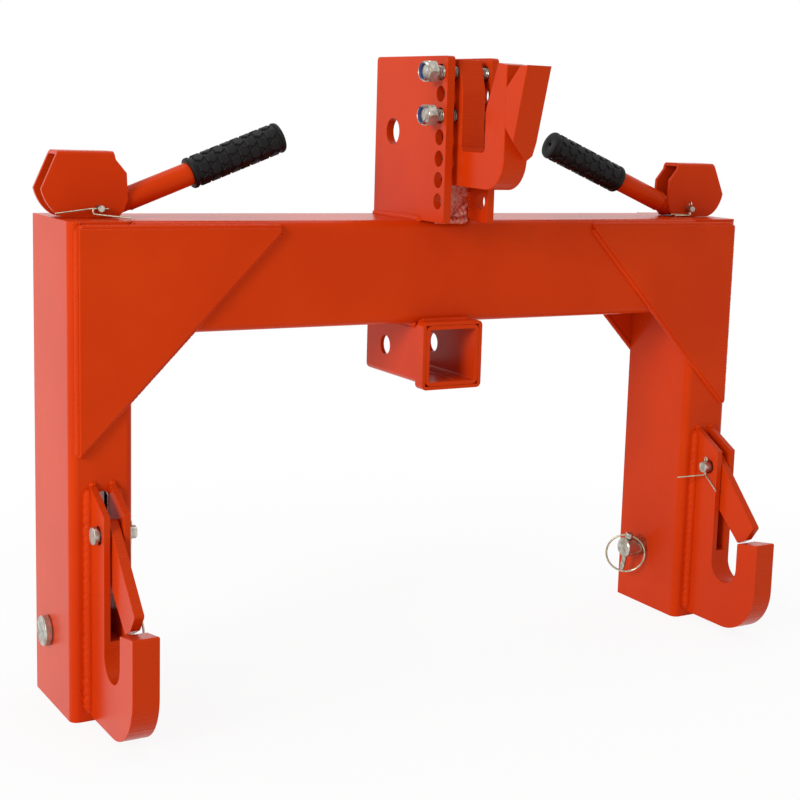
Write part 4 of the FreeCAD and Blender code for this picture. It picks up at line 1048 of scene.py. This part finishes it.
@dataclass
class Studio:
    """Camera, floor and soft light."""

    eye: Point = (-778.92, -1309.18, 547.14)
    yaw: float = 32.914
    pitch: float = -9.182
    roll: float = 2.199
    focal: float = 1566.7
    frame: float = 800.0
    centre: tuple[float, float] = (100.0, -30.0)
    sensor: float = 36.0
    fill: float = 0.53
    far: float = 100.0
    floor_half: float = 20.0
    aim: Point = (0.0, 0.05, 0.3)

    def camera(self) -> bpy.types.Object:
        """Stand the camera where the object is seen from."""
        data = bpy.data.cameras.new("camera")
        data.sensor_width = self.sensor
        data.lens = self.sensor * self.focal / self.frame
        data.shift_x = -self.centre[0] / self.frame
        data.shift_y = self.centre[1] / self.frame
        data.clip_end = self.far
        camera = bpy.data.objects.new("camera", data)
        bpy.context.scene.collection.objects.link(camera)
        turn = (Matrix.Rotation(math.radians(-self.yaw), 4, "Z")
                @ Matrix.Rotation(math.radians(90 + self.pitch), 4, "X")
                @ Matrix.Rotation(math.radians(self.roll), 4, "Z"))
        camera.matrix_world = Matrix.Translation(Vector(self.eye) * MM) @ turn
        bpy.context.scene.camera = camera
        return camera

    def floor(self) -> bpy.types.Object:
        """Lay a white floor that keeps the object's shadow."""
        material, tree = blank("matt white studio floor")
        path = add(tree, "ShaderNodeLightPath").outputs
        place = add(tree, "ShaderNodeTexCoord").outputs
        paper = add(tree, "ShaderNodeBsdfDiffuse", {"Color": srgb("#fafafa")})
        glow = add(tree, "ShaderNodeEmission", {"Color": srgb("#ffffff"), "Strength": 1.0})
        seen = add(tree, "ShaderNodeMath", {"operation": "MAXIMUM"},
                   {0: path["Is Camera Ray"], 1: path["Is Glossy Ray"]})
        # A tenth of the shadow shows near the object, and less and less out to 0.95 m.
        reach = add(tree, "ShaderNodeVectorMath", {"operation": "LENGTH"}, {0: place["Object"]})
        white = add(tree, "ShaderNodeMapRange", {"From Min": 0.4, "From Max": 0.95, "To Min": 0.9,
                                                 "To Max": 1.0}, {0: reach.outputs["Value"]})
        share = add(tree, "ShaderNodeMath", {"operation": "MULTIPLY"},
                    {0: seen.outputs[0], 1: white.outputs[0]})
        mixed = add(tree, "ShaderNodeMixShader", {}, {0: share.outputs[0], 1: paper.outputs[0],
                                                      2: glow.outputs[0]})
        add(tree, "ShaderNodeOutputMaterial", {}, {0: mixed.outputs[0]})
        shape = bmesh.new()
        bmesh.ops.create_grid(shape, x_segments=1, y_segments=1, size=self.floor_half)
        mesh = bpy.data.meshes.new("floor")
        shape.to_mesh(mesh)
        shape.free()
        mesh.materials.append(material)
        floor = bpy.data.objects.new("floor", mesh)
        bpy.context.scene.collection.objects.link(floor)
        return floor

    def world(self) -> None:
        """White behind the object and in its reflections, and a dimmer even fill."""
        world = bpy.data.worlds.new("studio")
        world.use_nodes = True
        tree = world.node_tree
        tree.nodes.clear()
        path = add(tree, "ShaderNodeLightPath").outputs
        clear = add(tree, "ShaderNodeMath", {"operation": "MAXIMUM"},
                    {0: path["Is Camera Ray"], 1: path["Is Transmission Ray"]})
        shown = add(tree, "ShaderNodeMath", {"operation": "MAXIMUM"},
                    {0: clear.outputs[0], 1: path["Is Glossy Ray"]})
        level = add(tree, "ShaderNodeMapRange", {"To Min": self.fill, "To Max": 1.0},
                    {0: shown.outputs[0]})
        back = add(tree, "ShaderNodeBackground", {"Color": srgb("#ffffff")},
                   {"Strength": level.outputs[0]})
        add(tree, "ShaderNodeOutputWorld", {}, {0: back.outputs[0]})
        bpy.context.scene.world = world

    def lamp(self, name: str, place: Point, size: float,
             power: float) -> bpy.types.Object:
        """Hang a soft box that faces the object.

        Args:
            name: Name of the lamp.
            place: Where it hangs, in metres.
            size: Side of the box in metres.
            power: Power in watts.

        Returns:
            The lamp.
        """
        data = bpy.data.lights.new(name, "AREA")
        data.shape = "SQUARE"
        data.size = size
        data.energy = power
        lamp = bpy.data.objects.new(name, data)
        bpy.context.scene.collection.objects.link(lamp)
        aim = (Vector(self.aim) - Vector(place)).to_track_quat("-Z", "Y")
        lamp.matrix_world = Matrix.Translation(Vector(place)) @ aim.to_matrix().to_4x4()
        return lamp

    def build(self) -> None:
        """Set up the studio."""
        self.camera()
        self.floor()
        self.world()
        self.lamp("left soft box", (-3.4, -1.4, 1.5), 1.1, 70.0)
        self.lamp("top soft box", (0.3, 0.4, 2.8), 1.6, 14.0)
        bpy.context.scene.view_settings.view_transform = "Standard"


def corners(pair: tuple[Vector, Vector]) -> list[list[float]]:
    """A box's two corners as plain numbers."""
    return [list(corner) for corner in pair]


def main() -> None:
    """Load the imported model, dress it piece by piece and light it."""
    logging.basicConfig(level=logging.INFO, format="%(message)s")
    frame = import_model()
    nodes = frame["nodes"]
    finishes = Finishes()
    WeldedFrame(finishes, nodes).build()
    Receiver(finishes, nodes).build()
    Mast(finishes, nodes).build()
    TopHook(finishes, nodes).build()
    for side in Side:
        LowerHook(finishes, nodes, side).build()
        PullRod(finishes, nodes, side).build()
        CamLever(finishes, nodes, side).build()
        LinkPin(finishes, nodes, side).build()
    Studio().build()


if __name__ == "__main__":
    main()
